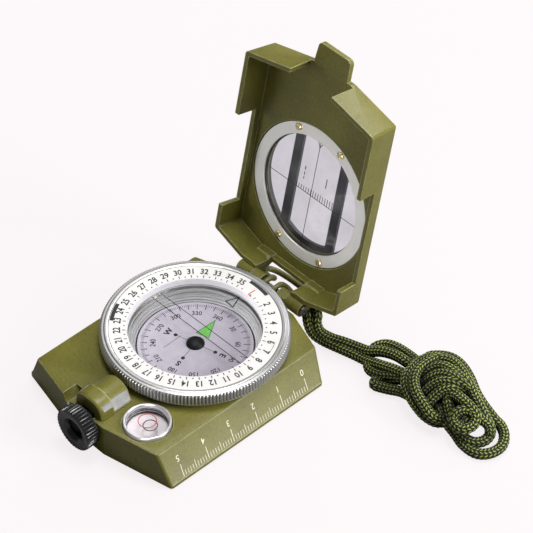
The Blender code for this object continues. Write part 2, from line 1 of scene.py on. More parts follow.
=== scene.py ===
"""Sighting compass: fine surfaces, prints, glass, knurls and braided lanyard on the CAD frame.

The base rests on z = 0 with the dial's axis on Z. The eyepiece faces -Y, the hinge lies along X
at the +Y end with the cover standing open, the ruler is on the +X side and the lanyard trails
off towards +X and +Y. Shapes are in millimetres; materials, lights and camera in metres.
"""

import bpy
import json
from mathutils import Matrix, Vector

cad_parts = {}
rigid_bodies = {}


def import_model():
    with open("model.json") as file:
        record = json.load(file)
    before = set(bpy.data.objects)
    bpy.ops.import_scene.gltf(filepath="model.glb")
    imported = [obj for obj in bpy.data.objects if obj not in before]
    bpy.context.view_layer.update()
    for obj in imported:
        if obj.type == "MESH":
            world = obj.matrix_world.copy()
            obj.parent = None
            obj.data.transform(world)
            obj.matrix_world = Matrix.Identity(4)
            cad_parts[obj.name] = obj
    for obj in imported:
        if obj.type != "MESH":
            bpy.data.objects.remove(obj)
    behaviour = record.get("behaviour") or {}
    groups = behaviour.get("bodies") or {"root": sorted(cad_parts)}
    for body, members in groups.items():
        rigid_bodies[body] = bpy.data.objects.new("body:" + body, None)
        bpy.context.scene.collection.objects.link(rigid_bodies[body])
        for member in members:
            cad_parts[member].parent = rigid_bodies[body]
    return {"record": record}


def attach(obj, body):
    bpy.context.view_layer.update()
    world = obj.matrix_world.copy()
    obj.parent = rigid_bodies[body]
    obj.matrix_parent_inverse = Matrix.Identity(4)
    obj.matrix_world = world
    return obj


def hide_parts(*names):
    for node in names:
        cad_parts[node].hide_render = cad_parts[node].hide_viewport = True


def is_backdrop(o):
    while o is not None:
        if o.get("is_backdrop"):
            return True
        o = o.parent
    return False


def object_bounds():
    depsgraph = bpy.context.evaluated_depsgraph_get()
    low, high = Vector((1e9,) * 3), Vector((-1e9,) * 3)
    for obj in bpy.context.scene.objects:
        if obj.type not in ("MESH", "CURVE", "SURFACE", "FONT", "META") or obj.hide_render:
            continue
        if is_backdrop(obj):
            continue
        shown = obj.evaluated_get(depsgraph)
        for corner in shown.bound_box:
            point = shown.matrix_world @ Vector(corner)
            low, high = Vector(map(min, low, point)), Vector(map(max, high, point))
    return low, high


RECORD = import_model()["record"]
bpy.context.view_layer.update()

import json
from math import cos, pi, radians, sin, sqrt, tan

import bmesh
import bpy
import numpy as np
from mathutils import Matrix, Vector

scene = bpy.context.scene
BODY = {n: b for b, ns in RECORD["behaviour"]["bodies"].items() for n in ns}
MM = 0.001


# ================================================================ materials
def scaled(colour, factor, plus=0.0):
    return tuple(min(1.0, c * factor + plus) for c in colour)


class Mat:
    """A node material, built with short calls."""

    def __init__(self, name):
        self.material = bpy.data.materials.new(name)
        self.material.use_nodes = True
        self.tree = self.material.node_tree
        self.bsdf = self.tree.nodes["Principled BSDF"]
        self.normal = None
        self.coord = self.node("TexCoord").outputs["Object"]

    def feed(self, socket, value):
        """Link an output into this input, or set the input to a number or colour."""
        if isinstance(value, bpy.types.NodeSocket):
            self.tree.links.new(value, socket)
        else:
            socket.default_value = (*value, 1.0) if socket.type == "RGBA" else value

    def node(self, kind, **values):
        """New node; each value goes to the input of that name, else to the property."""
        node = self.tree.nodes.new("ShaderNode" + kind)
        for key, value in values.items():
            if key in node.inputs:
                self.feed(node.inputs[key], value)
            else:
                setattr(node, key, value)
        return node

    def wire(self, node, *values, at=(0, 1, 2)):
        """Feed values to the inputs numbered in `at`; returns the outputs."""
        for index, value in zip(at, values):
            self.feed(node.inputs[index], value)
        return node.outputs

    def noise(self, scale, detail=3.0, rough=0.5, stretch=None):
        vector = self.coord
        if stretch:
            vector = self.node("Mapping", Scale=stretch, Vector=vector).outputs[0]
        return self.node("TexNoise", Scale=scale, Detail=detail, Roughness=rough,
                         Vector=vector).outputs["Fac"]

    def ramp(self, fac, colours, at=(0.3, 0.7)):
        node = self.node("ValToRGB", Fac=fac)
        stops = node.color_ramp.elements
        while len(stops) < len(at):
            stops.new(0.5)
        for stop, position, colour in zip(stops, at, colours):
            stop.position = position
            stop.color = (*colour, 1.0)
        return node.outputs["Color"]

    def grey(self, fac, values, at=(0.3, 0.7)):
        return self.ramp(fac, [(v, v, v) for v in values], at)

    def mix(self, fac, first, second):
        node = self.node("Mix", data_type="RGBA")
        return self.wire(node, fac, first, second, at=(0, 6, 7))[2]

    def mix_shader(self, fac, first, second):
        return self.wire(self.node("MixShader"), fac, first, second)[0]

    def math(self, operation, first, second):
        return self.wire(self.node("Math", operation=operation), first, second)[0]

    def set(self, **values):
        """Inputs of the Principled shader, with _ for each space."""
        for key, value in values.items():
            self.feed(self.bsdf.inputs[key.replace("_", " ")], value)

    def bump(self, height, strength, distance, edge=0.0):
        """Bump on top of earlier bumps, over edges rounded by the radius `edge`."""
        if edge:
            self.normal = self.node("Bevel", Radius=edge, samples=4).outputs[0]
        node = self.node("Bump", Strength=strength, Distance=distance, Height=height)
        if self.normal is not None:
            self.feed(node.inputs["Normal"], self.normal)
        self.normal = node.outputs[0]
        self.set(Normal=self.normal)

    def surface(self, shader):
        self.feed(self.tree.nodes["Material Output"].inputs["Surface"], shader)


def paint(name, base=(0.144, 0.134, 0.019), edge=0.0003, rough=0.40):
    """Satin olive paint on a casting: orange peel, tiny specks, dust, and edges lightened by wear
    and by a painted highlight.
    """
    mat = Mat(name)
    drift = mat.noise(scale=60)
    speck = mat.noise(scale=1500, detail=2, rough=0.7)
    col = mat.ramp(drift, at=(0.34, 0.66), colours=(scaled(base, 0.86), scaled(base, 1.12)))
    dark_specks = mat.grey(speck, at=(0.54, 0.66), values=(0.0, 0.60))
    col = mat.mix(dark_specks, col, scaled(base, 0.50))
    dust = mat.noise(scale=1300, detail=2, rough=0.7, stretch=(1, 1, 1.3))
    col = mat.mix(mat.grey(dust, at=(0.60, 0.70), values=(0.0, 0.35)), col, (0.27, 0.26, 0.10))
    # worn and lightened where the bevelled normal turns away from the true one, which is along the
    # edges: paint wear plus a painted highlight on the edges
    bevel = mat.node("Bevel", Radius=0.00048, samples=4)
    geometry = mat.node("NewGeometry")
    dot = mat.wire(mat.node("VectorMath", operation="DOT_PRODUCT"), bevel.outputs[0],
                   geometry.outputs["Normal"])
    edges = mat.grey(dot["Value"], at=(0.90, 0.992), values=(1.0, 0.0))
    edge_wear_highlight_patches = mat.grey(mat.noise(scale=500, detail=4), at=(0.30, 0.60), values=(0.35, 1.0))
    # pale olive along the edges: part real wear, part painted highlight
    col = mat.mix(mat.math("MULTIPLY", edges, edge_wear_highlight_patches), col, (0.50, 0.49, 0.26))
    mat.set(Base_Color=col,
            Roughness=mat.grey(mat.noise(scale=1400), values=(rough - 0.05, rough + 0.08)),
            Specular_IOR_Level=0.42)
    mat.bump(mat.noise(scale=3200, rough=0.6), strength=0.32, distance=0.00004, edge=edge)
    mat.bump(mat.noise(scale=900, detail=2), strength=0.20, distance=0.00006)
    return mat.material


def metal(name, col=(0.76, 0.77, 0.76), rough=0.26, fine=5000, edge=0.0002, groove=False,
          solid=1.0):
    """Metal with fine turning marks; `groove` paints shade into the grooves, read from the mesh
    attribute of that name.
    """
    mat = Mat(name)
    marks = mat.noise(scale=fine, rough=0.6)
    base = mat.ramp(mat.noise(scale=200, detail=2), (scaled(col, 0.95), col))
    if groove:
        depth = mat.node("Attribute", attribute_name="groove").outputs["Fac"]
        # painted shade: the colour goes near black down in the grooves
        base = mat.mix(mat.grey(depth, at=(0.55, 1.0), values=(0.0, 0.70)), base,
                       (0.06, 0.06, 0.057))
    mat.set(Base_Color=base, Metallic=solid,
            Roughness=mat.grey(marks, values=(rough - 0.02, rough + 0.04)))
    mat.bump(marks, strength=0.015, distance=0.00001, edge=edge)
    return mat.material


def plastic(name, col, rough=0.45, amount=0.08, edge=0.0, spec=0.5):
    """Plain plastic; `amount` is how far the colour drifts either way."""
    mat = Mat(name)
    drift = mat.noise(scale=400, detail=4)
    mat.set(Base_Color=mat.ramp(drift, (scaled(col, 1 - amount), scaled(col, 1 + amount))),
            Roughness=mat.grey(mat.noise(scale=2500), values=(rough - 0.06, rough + 0.08)),
            Specular_IOR_Level=spec)
    mat.bump(mat.noise(scale=4500, detail=2), strength=0.12, distance=0.00002, edge=edge)
    return mat.material


def knob_plastic(name):
    """Moulded black plastic, dull and painted darker in the grooves as shade, rubbed bright on the
    ribs.
    """
    mat = Mat(name)
    depth = mat.node("Attribute", attribute_name="groove").outputs["Fac"]
    groove = mat.grey(depth, at=(0.15, 0.75), values=(0.0, 1.0))
    ribs = mat.ramp(mat.noise(scale=700, detail=4), at=(0.35, 0.7),
                    colours=((0.009, 0.009, 0.0095), (0.018, 0.018, 0.019)))
    rubbed = mat.grey(mat.noise(scale=2500), values=(0.20, 0.26))
    # painted shade: near-black colour down in the grooves between the ribs
    mat.set(Base_Color=mat.mix(groove, ribs, (0.003, 0.003, 0.003)),
            Roughness=mat.mix(groove, rubbed, (0.8, 0.8, 0.8)), Specular_IOR_Level=0.60)
    mat.bump(mat.noise(scale=4500, detail=2), strength=0.02, distance=0.00001)
    return mat.material


def ink(name, col):
    mat = Mat(name)
    shades = (scaled(col, 0.8), scaled(col, 1.15, plus=0.004))
    mat.set(Base_Color=mat.ramp(mat.noise(scale=3000, detail=2), shades), Roughness=0.55)
    return mat.material


def glass(name, tint=(0.97, 0.98, 0.98), gloss=0.03, strength=1.0, haze=0.0):
    """Thin clear pane: what lies behind shows straight through, with a mirror-like skin."""
    mat = Mat(name)
    mat.tree.nodes.remove(mat.bsdf)
    clear = mat.node("BsdfTransparent", Color=tint)
    shine = mat.node("BsdfGlossy", Roughness=gloss, Color=(strength,) * 3)
    fresnel = mat.node("Fresnel", IOR=1.45)
    smear = mat.grey(mat.noise(scale=120), at=(0.35, 0.75), values=(0.0, haze))
    film = mat.node("BsdfDiffuse", Color=(0.85, 0.85, 0.87))
    soft = mat.mix_shader(smear, clear.outputs[0], film.outputs[0])
    front = mat.math("SUBTRACT", 1.0, mat.node("NewGeometry").outputs["Backfacing"])
    mirror = mat.math("MULTIPLY", fresnel.outputs[0], front)
    mat.surface(mat.mix_shader(mirror, soft, shine.outputs[0]))
    return mat.material


def bubble_material():
    """Air bubble under the vial's dome: clear in the middle, with painted shade where its skin
    turns away.
    """
    mat = Mat("bubble")
    mat.tree.nodes.remove(mat.bsdf)
    clear = mat.node("BsdfTransparent")
    # painted shade: a dark band at grazing angles, in place of the darkening refraction gives the
    # bubble's edge
    rim = mat.node("BsdfDiffuse", Color=(0.03, 0.03, 0.03))
    facing = mat.node("LayerWeight", Blend=0.5).outputs["Facing"]
    waver = mat.math("MULTIPLY", mat.noise(scale=900, detail=2), 0.04)
    band = mat.grey(mat.math("ADD", facing, waver), at=(0.62, 0.70, 0.82, 0.9),
                    values=(0.0, 0.85, 0.85, 0.2))
    mat.surface(mat.mix_shader(band, clear.outputs[0], rim.outputs[0]))
    return mat.material


def cord_material():
    """Braid: light stitches over near-black painted shade in the gaps, read from the mesh attribute
    `stitch`; occlusion paints more shade where cords press together.
    """
    mat = Mat("braided_cord")
    stitch = mat.node("Attribute", attribute_name="stitch").outputs["Fac"]
    height = mat.grey(stitch, at=(0.05, 0.95), values=(0.0, 1.0))
    drift = mat.noise(scale=160, detail=2)
    # painted shade: near-black colour for the gaps between stitches
    gap_shade = mat.ramp(drift, at=(0.35, 0.65), colours=((0.003, 0.004, 0.001), (0.007, 0.009, 0.002)))
    top = mat.ramp(drift, ((0.190, 0.240, 0.044), (0.420, 0.485, 0.125)))
    fibre = mat.noise(scale=9000, detail=2, rough=0.7)
    col = mat.mix(mat.grey(height, at=(0.52, 0.96), values=(0.0, 1.0)), gap_shade, top)
    fibre_shade = mat.grey(fibre, at=(0.55, 0.75), values=(0.0, 0.35))
    col = mat.mix(fibre_shade, col, (0.02, 0.03, 0.006))
    # painted shade: ambient occlusion darkens the colour where cords touch
    crevice_shade = mat.node("AmbientOcclusion", Distance=0.0036, samples=6).outputs["AO"]
    crevice_shade = mat.grey(crevice_shade, at=(0.42, 0.93), values=(0.97, 0.0))
    mat.set(Base_Color=mat.mix(crevice_shade, col, (0.003, 0.004, 0.001)), Roughness=0.78,
            Sheen_Weight=0.15, Sheen_Roughness=0.4, Specular_IOR_Level=0.3)
    mat.bump(fibre, strength=0.35, distance=0.00004)
    return mat.material


OLIVE = paint("olive_paint")
OLIVE_PLATE = paint("olive_plate", base=(0.120, 0.112, 0.026), edge=0.0002, rough=0.45)
OLIVE_WIRE = paint("olive_wire", base=(0.16, 0.152, 0.045), edge=0.0, rough=0.34)
CHAMBER_METAL = metal("chamber_aluminium", col=(0.44, 0.44, 0.432), rough=0.48, fine=1500,
                      edge=0.0, solid=0.35)
BEZEL_METAL = metal("bezel_aluminium", col=(0.52, 0.52, 0.51), rough=0.31, edge=0.0,
                    groove=True, solid=0.90)
LEVEL_METAL = metal("level_aluminium", col=(0.62, 0.61, 0.62), rough=0.30, edge=0.0, solid=0.85)
LEVEL_GLASS = glass("level_glass", tint=(0.985, 0.98, 0.985), gloss=0.12, strength=0.25)
RING_METAL = metal("ring_aluminium", col=(0.76, 0.76, 0.73), rough=0.40, fine=3500, solid=0.7)
# painted light: a whiter copy of the number ring's white for its shaded skirt
SKIRT_PAINTED_LIGHT = plastic("skirt_white", col=(0.80, 0.785, 0.82), amount=0.04)
DIAL_WHITE = plastic("dial_white", col=(0.49, 0.483, 0.468), rough=0.5, amount=0.04, edge=0.00012)
CARD_LILAC = plastic("card_lilac", col=(0.60, 0.555, 0.62), rough=0.5, amount=0.05)
# painted shade for the inside of the level cup
CUP_SHADE = plastic("cup_band", col=(0.045, 0.042, 0.048), rough=0.25, amount=0.3)
BLACK = plastic("black_plastic", col=(0.014, 0.014, 0.015), rough=0.34, amount=0.2, edge=0.00012)
KNOB_BLACK = knob_plastic("knob_plastic")
HUB_BLACK = plastic("hub_black", col=(0.008, 0.008, 0.009), rough=0.42, amount=0.2, spec=0.3)
CLEAR = glass("clear_glass", tint=(0.985, 0.985, 0.99), strength=0.30)
COVER_GLASS = glass("cover_glass", tint=(0.80, 0.795, 0.825), gloss=0.05, strength=0.9, haze=0.10)
LENS_GLASS = glass("lens_glass", tint=(0.80, 0.86, 0.90), gloss=0.02)
PRISM_GLASS = glass("prism_glass", tint=(0.86, 0.90, 0.92), gloss=0.02)
BRASS = metal("brass", col=(0.72, 0.60, 0.34), rough=0.34)
STEEL = metal("steel", col=(0.46, 0.46, 0.45), rough=0.36)
PIN_STEEL = metal("pin_steel", col=(0.24, 0.235, 0.20), rough=0.42)
RUBBER = plastic("rubber", col=(0.025, 0.025, 0.025), rough=0.75, amount=0.2)
DARK_GREY = plastic("dark_grey_frame", col=(0.060, 0.064, 0.068), rough=0.42, amount=0.1,
                    edge=0.00015)
INK = ink("black_ink", (0.012, 0.012, 0.014))
INK_GREY = ink("grey_ink", (0.09, 0.085, 0.095))
INK_RED = ink("red_ink", (0.50, 0.015, 0.012))
INK_GREEN = ink("green_ink", (0.19, 0.62, 0.11))
INK_CREAM = ink("cream_ink", (0.78, 0.76, 0.60))
FLOOR_PINK = plastic("level_floor", col=(0.86, 0.81, 0.83), rough=0.4, amount=0.04)
# painted reflection: opaque pale grey standing for a lamp's reflection on the housing
REFLECTION_PATCH = plastic("pale_pane", col=(0.33, 0.33, 0.32), rough=0.20, amount=0.18)
CORD = cord_material()
BUBBLE = bubble_material()

# ================================================================ dimensions
# base casting
BASE_H = 11.9            # height of the top face
TOP_HALF_W = 26.6        # half width of the top face
FOOT_HALF_W = 31.13      # half width where the ruler slope meets the foot lip
LIP_HALF_W = 31.6        # half width of the foot lip
LIP_H = 1.5
SLOPE_Z0 = LIP_H + 0.4   # where the sloping sides start
FRONT_SIDE_Y = -39.5     # where side and front chamfer meet, at the top face
FRONT_MID_Y = -43.7      # flat front land that carries the eyepiece
FRONT_MID_X = 7.6
REAR_SIDE_Y = 24.3       # where side and rear chamfer meet, at the top face
REAR_MID_Y = 29.0
REAR_MID_X = 12.2
CORNER_R = 1.1
EDGE_R = 0.5
WELL_R, WELL_TOP = 23.6, 9.9    # well for the capsule, open to the underside
MOUTH_R = 21.4                  # mouth of the well in the top face
BOSS_R0, BOSS_R1, BOSS_TOP = 22.0, 24.3, 13.1   # spigot the bezel turns on
PLATE_T = 1.5
PLATE_INSET = 1.9
PLATE_CORNER_R = 0.8
PLATE_SCREWS = [(23.6, -34.2), (-23.6, -34.2), (23.6, 20.4), (-23.6, 20.4)]

# dial stack
BEZEL_R = 28.76
WINDOW_R, WINDOW_TOP = 20.3, 14.75
SCALE_R0, SCALE_R1, SCALE_TOP = 20.4, 24.9, 17.7
CARD_R, CARD_Z0, CARD_Z1 = 17.6, 10.0, 10.45

# eyepiece
EYE_Z = 8.4
KNOB_R = 7.0
KNOB_Y0, KNOB_Y1 = -48.9, -44.2
SLEEVE_R, SLEEVE_BORE = 4.3, 3.6
EYE_BORE_R = 4.6

# prism housing
HOUSE_Y0, HOUSE_YS, HOUSE_Y1 = -42.4, -37.5, -30.4   # front, step, end by the bezel
HOUSE_R, HOUSE_Z = 5.9, 11.7     # the arched back of the housing and its centre height
HOUSE_FLAT_R = HOUSE_R - 0.12    # rear part, behind the step
HOUSE_FOOT = 12.1
HOUSE_WALL = 1.3
HOUSE_SQUARE = 0.7               # how full the shoulders of its front half are

# bubble level
LEVEL_X, LEVEL_Y = 15.3, -33.0
LEVEL_R = 7.3

# hinge and cover; cover heights are over the hinge axis
HINGE_Y, HINGE_Z = 31.5, 12.7
COVER_OPEN = radians(101.75)     # opening angle at rest, 0 is closed
PIN_R = 0.8
PIN_HOLE_R = PIN_R + 0.15
KNUCKLE_R = 2.3
COVER_HALF_W = 26.6
COVER_RIM, COVER_IN, COVER_OUT = -0.2, 8.7, 10.9
COVER_WALL = 1.4
NOTCH_Y0, NOTCH_Y1, NOTCH_H = -17.3, 16.2, 6.6
COVER_DRAFT = 1.0                # each side wall leans in by this much at the outer face
TAB_Y0, TAB_Y1 = -50.9, -42      # ends of the tab, cover closed
TAB_X0, TAB_SKEW, TAB_X1 = -7.9, 1.0, 6.0   # its sides; the -X one slants by the skew
SIGHT_Y = 0.3                    # centre of the sighting window, closed
RING_R0, RING_R1 = 19.4, 23.2
RING_SCREW_R, RING_SCREW_A = 21.7, 66.0
SIGHT_R0, SIGHT_R1 = 19.6, 21.2  # outer frame that carries the two upright bars
BAR_X, BAR_HALF_W = 9.6, 1.6

# thumb loop
WIRE_R = 0.95
EYE_WIRE_R = 0.75        # thinner where the wire curls round the pin
EYE_COIL_R = 1.7
DROOP = radians(28)      # the loop hangs this far below level

SEG_L, SEG_M, SEG_S = 160, 80, 32   # steps round large, medium and small turned pieces


# =================================================================== shapes
PARTS = {}   # source objects of the finished pieces, by name
TOOLS = []   # solids cut from them or joined to them


def mesh_from(name, bm, mat=None):
    """Mesh in metres from a bmesh drawn in mm."""
    bm.transform(Matrix.Scale(MM, 4))
    mesh = bpy.data.meshes.new(name)
    bm.to_mesh(mesh)
    bm.free()
    if mat:
        mesh.materials.append(mat)
    return mesh


def source(name, bm, mat=None, parent=None):
    bmesh.ops.remove_doubles(bm, verts=bm.verts, dist=1e-4)
    bmesh.ops.recalc_face_normals(bm, faces=bm.faces)
    obj = bpy.data.objects.new("src_" + name, mesh_from(name, bm, mat))
    scene.collection.objects.link(obj)
    obj.parent = parent
    return obj


def part(name, bm, mat, parent=None):
    """A piece; with a parent it is drawn in the parent's frame."""
    PARTS[name] = source(name, bm, mat, parent)
    return PARTS[name]


def cut(target, bm, operation="DIFFERENCE"):
    """Cut a solid, drawn in the target's own frame, out of the target."""
    tool = source("tool", bm, parent=target.parent)
    TOOLS.append(tool)
    mod = target.modifiers.new(operation, "BOOLEAN")
    mod.operation = operation
    mod.object = tool
    mod.solver = "EXACT"


def join(target, bm):
    cut(target, bm, "UNION")


def shift(x=0.0, y=0.0, z=0.0):
    return Matrix.Translation((x, y, z))


def turn(angle, axis):
    return Matrix.Rotation(angle, 4, axis)


def placed(bm, *matrices):
    for matrix in matrices:
        bm.transform(matrix)
    return bm


def on_eye(bm):
    """Lay a turned piece on the eyepiece axis: height h becomes y = h."""
    return placed(bm, turn(radians(-90), "X"), shift(z=EYE_Z))


def along_x(bm, y=HINGE_Y, z=HINGE_Z):
    """Lay a turned piece along X, by default on the hinge: height h becomes x = h."""
    return placed(bm, turn(radians(90), "Y"), shift(y=y, z=z))


def lathe(profile, steps):
    """Spin an (r, h) profile about Z. A profile that starts on the axis stays open."""
    bm = bmesh.new()
    verts = [bm.verts.new((r, 0, h)) for r, h in profile]
    edges = [bm.edges.new(pair) for pair in zip(verts, verts[1:])]
    if profile[0][0] != 0:
        edges.append(bm.edges.new((verts[-1], verts[0])))
    bmesh.ops.spin(bm, geom=verts + edges, cent=(0, 0, 0), axis=(0, 0, 1),
                   angle=2 * pi, steps=steps)
    bmesh.ops.remove_doubles(bm, verts=bm.verts, dist=1e-4)
    return bm


def rod(r, h0, h1, steps):
    return lathe([(0, h1), (r, h1), (r, h0), (0, h0)], steps)


def tube(r0, r1, h0, h1, steps):
    return lathe([(r1, h1), (r1, h0), (r0, h0), (r0, h1)], steps)


def bridge(bm, rings):
    """Join neighbouring rings of vertices with quads."""
    count = len(rings[0])
    for a, b in zip(rings, rings[1:]):
        for i in range(count):
            j = (i + 1) % count
            bm.faces.new((a[i], a[j], b[j], b[i]))


def loft(sections):
    """Bridge equal point loops into one capped solid."""
    bm = bmesh.new()
    rings = [[bm.verts.new(p) for p in section] for section in sections]
    bridge(bm, rings)
    bm.faces.new(rings[0])
    bm.faces.new(rings[-1])
    return bm


def ridged(profile, ridges, per, depth, sharp):
    """Spin an (r, h, share) profile into ribs; share of the groove depth is cut at that point."""
    bm = bmesh.new()
    count = ridges * per
    layer = bm.verts.layers.float.new("groove")
    rings = []
    for r, h, share in profile:
        ring = []
        for k in range(count):
            a = 2 * pi * k / count
            groove = share * (0.5 + 0.5 * cos(2 * pi * (k % per) / per)) ** sharp
            radius = r - groove * depth
            vert = bm.verts.new((radius * cos(a), radius * sin(a), h))
            vert[layer] = groove
            ring.append(vert)
        rings.append(ring)
    bridge(bm, rings + rings[:1])
    return bm


def prism(points, h0, h1, plane="XY"):
    """Extrude an outline; plane names the outline's two axes, h the third."""
    def at(p, h):
        return {"XY": (p[0], p[1], h), "YZ": (h, p[0], p[1]), "XZ": (p[0], h, p[1])}[plane]
    return loft([[at(p, h) for p in points] for h in (h0, h1)])


def box(x0, x1, y0, y1, z0, z1):
    return prism([(x0, y0), (x1, y0), (x1, y1), (x0, y1)], z0, z1)


def polar(radius, degrees, x=0.0, y=0.0):
    """Points on a circle about (x, y), one at each angle."""
    return [(x + radius * cos(radians(a)), y + radius * sin(radians(a))) for a in degrees]


def level(points, z):
    return [(p.x, p.y, z) for p in points]


def offset(points, inset):
    """Move every edge of a counter-clockwise convex outline inwards by inset."""
    if not inset:
        return [Vector(p) for p in points]
    lines = []
    count = len(points)
    for i in range(count):
        start, end = Vector(points[i]), Vector(points[(i + 1) % count])
        d = (end - start).normalized()
        lines.append((start + Vector((-d.y, d.x)) * inset, d))
    out = []
    for i in range(count):
        (p, d), (q, e) = lines[i - 1], lines[i]
        out.append(p + d * ((q - p).cross(e) / d.cross(e)))
    return out


def rounded(points, radius, count=9):
    """Replace each corner by an arc of this many points."""
    out = []
    for i in range(len(points)):
        corner = Vector(points[i])
        back = (Vector(points[i - 1]) - corner).normalized()
        ahead = (Vector(points[(i + 1) % len(points)]) - corner).normalized()
        half = 0.5 * back.angle(ahead)
        reach = radius / tan(half)
        centre = corner + (back + ahead).normalized() * (radius / sin(half))
        first = corner + back * reach - centre
        last = corner + ahead * reach - centre
        way = 1 if first.x * last.y - first.y * last.x > 0 else -1
        for k in range(count):
            a = way * (pi - 2 * half) * k / (count - 1)
            out.append(centre + Vector((first.x * cos(a) - first.y * sin(a),
                                        first.x * sin(a) + first.y * cos(a))))
    return out


def sweep(path, radii, steps):
    """Tube along path with parallel-transported rings and flat ends."""
    points = [Vector(p) for p in path]
    sections = []
    side = None
    for i, p in enumerate(points):
        t = (points[min(i + 1, len(points) - 1)] - points[max(i - 1, 0)]).normalized()
        side = (t.orthogonal() if side is None else side - t * side.dot(t)).normalized()
        up = side.cross(t).normalized()
        sections.append([p + side * (radii[i] * cos(a)) + up * (radii[i] * sin(a))
                         for a in (2 * pi * s / steps for s in range(steps))])
    return loft(sections)


def catmull(points, per):
    """Smooth path through the points, per samples a span. Points may have any length."""
    pts = [tuple(p) for p in points]
    before = tuple(2 * a - b for a, b in zip(pts[0], pts[1]))
    after = tuple(2 * a - b for a, b in zip(pts[-1], pts[-2]))
    ext = [before] + pts + [after]
    out = []
    for i in range(1, len(ext) - 2):
        for k in range(per):
            t = k / per
            out.append(tuple(0.5 * (2 * b + (c - a) * t + (2 * a - 5 * b + 4 * c - d) * t * t
                                    + (3 * b - a - 3 * c + d) * t ** 3)
                             for a, b, c, d in zip(*ext[i - 1:i + 3])))
    out.append(pts[-1])
    return out


# ===================================================================== base
def plan(half_w, inset=0.0):
    """Plan outline of the base at a level where its sides are half_w apart from the middle."""
    front_slope = (-FRONT_SIDE_Y + FRONT_MID_Y) / -(TOP_HALF_W - FRONT_MID_X)
    rear_slope = (REAR_SIDE_Y - REAR_MID_Y) / (TOP_HALF_W - REAR_MID_X)
    front = FRONT_SIDE_Y + front_slope * (half_w - TOP_HALF_W)
    rear = REAR_SIDE_Y + rear_slope * (half_w - TOP_HALF_W)
    return offset([(half_w, front), (half_w, rear), (REAR_MID_X, REAR_MID_Y),
                   (-REAR_MID_X, REAR_MID_Y), (-half_w, rear), (-half_w, front),
                   (-FRONT_MID_X, FRONT_MID_Y), (FRONT_MID_X, FRONT_MID_Y)], inset)


def plan_section(half_w, z, inset=0.0):
    return level(rounded(plan(half_w, inset), max(CORNER_R - inset, 0.25)), z)


def slope_section(z, inset=0.0):
    slope = (FOOT_HALF_W - TOP_HALF_W) / (BASE_H - LIP_H - 0.4)
    return plan_section(TOP_HALF_W + slope * (BASE_H - z), z, inset)


def plate_solid(inset, z0, z1):
    outline = rounded(plan(LIP_HALF_W, inset), PLATE_CORNER_R)
    return loft([level(outline, z) for z in (z0, z1)])


base = part("base_body", loft([
    plan_section(LIP_HALF_W, 0.0, 0.45),
    plan_section(LIP_HALF_W, 0.45),
    plan_section(LIP_HALF_W, LIP_H),
    slope_section(SLOPE_Z0),
    slope_section(BASE_H - EDGE_R),
    slope_section(BASE_H - 0.15, 0.14),
    plan_section(TOP_HALF_W, BASE_H, EDGE_R),
]), OLIVE)
join(base, tube(BOSS_R0, BOSS_R1, BASE_H - 1.0, BOSS_TOP, SEG_L))
# hinge knuckles on webs from the rear edge
for side in (-1, 1):
    web = polar(KNUCKLE_R, [90 - 5 * k for k in range(37)], HINGE_Y, HINGE_Z) + [
        (REAR_MID_Y - 1.5, HINGE_Z - KNUCKLE_R), (REAR_MID_Y - 1.5, BASE_H - 0.9),
        (REAR_MID_Y - 0.3, BASE_H - 0.05), (REAR_MID_Y + 0.5, HINGE_Z + KNUCKLE_R - 0.6)]
    join(base, prism(web, *sorted((side * 3.8, side * 7.5)), "YZ"))
cut(base, along_x(rod(PIN_HOLE_R, -9, 9, SEG_S)))
cut(base, along_x(rod(EYE_COIL_R + EYE_WIRE_R + 0.35, -3.4, 3.4, SEG_M)))   # room for the loop
cut(base, rod(WELL_R, -1, WELL_TOP, SEG_L))
cut(base, rod(MOUTH_R, 5, 16, SEG_L))
cut(base, plate_solid(PLATE_INSET - 0.3, -1.0, PLATE_T + 0.2))
cut(base, on_eye(rod(EYE_BORE_R, -50, -33, SEG_M)))
cut(base, box(-4.2, 4.2, -36.8, -30.6, 4.0, 14))   # prism pocket
# finger relief beside the eyepiece, cut into the front edge of the top face
RELIEF_X, RELIEF_Z, RELIEF_R = -6.4, 14.4, 5.1
relief = [(RELIEF_X - RELIEF_R * sin(a), RELIEF_Z - RELIEF_R * cos(a))
          for a in (radians(7 + 2.5 * k) for k in range(34))] + [(-11.5, 17.0), (-7.02, 17.0)]
cut(base, prism(relief, -47, -37.6, "XZ"))
level_at = shift(LEVEL_X, LEVEL_Y)
cut(base, placed(rod(LEVEL_R + 0.25, 8.5, 15, SEG_M), level_at))

# bottom plate with its rib and countersunk cross-head screws; profiles are (r, z)
SINK_PROFILE = [(0, 3), (1.1, 3), (1.1, 0.95), (2.25, 0.95), (2.25, -1), (0, -1)]
PLATE_SCREW_PROFILE = [(0, 5.6), (0.8, 5.6), (0.8, 0.8), (1.95, 0.8), (1.95, 0.25), (1.6, 0.1),
                       (0, 0.1)]
plate = part("bottom_plate", plate_solid(PLATE_INSET, 0.0, PLATE_T), OLIVE_PLATE)
join(plate, tube(12.0, 14.0, 0.5, 4.7, SEG_M))
for n, (x, y) in enumerate(PLATE_SCREWS, 1):
    at = shift(x, y)
    cut(base, placed(rod(1.05, -1, 6.2, 24), at))
    cut(plate, placed(lathe(SINK_PROFILE, SEG_S), at))
    screw = part("bottom_plate_screw_%d" % n, placed(lathe(PLATE_SCREW_PROFILE, SEG_S), at), STEEL)
    for quarter in (0, radians(90)):
        cut(screw, placed(box(-1.0, 1.0, -0.2, 0.2, -0.2, 0.62), turn(quarter, "Z"),
                          turn(0.3 + 1.1 * n, "Z"), at))


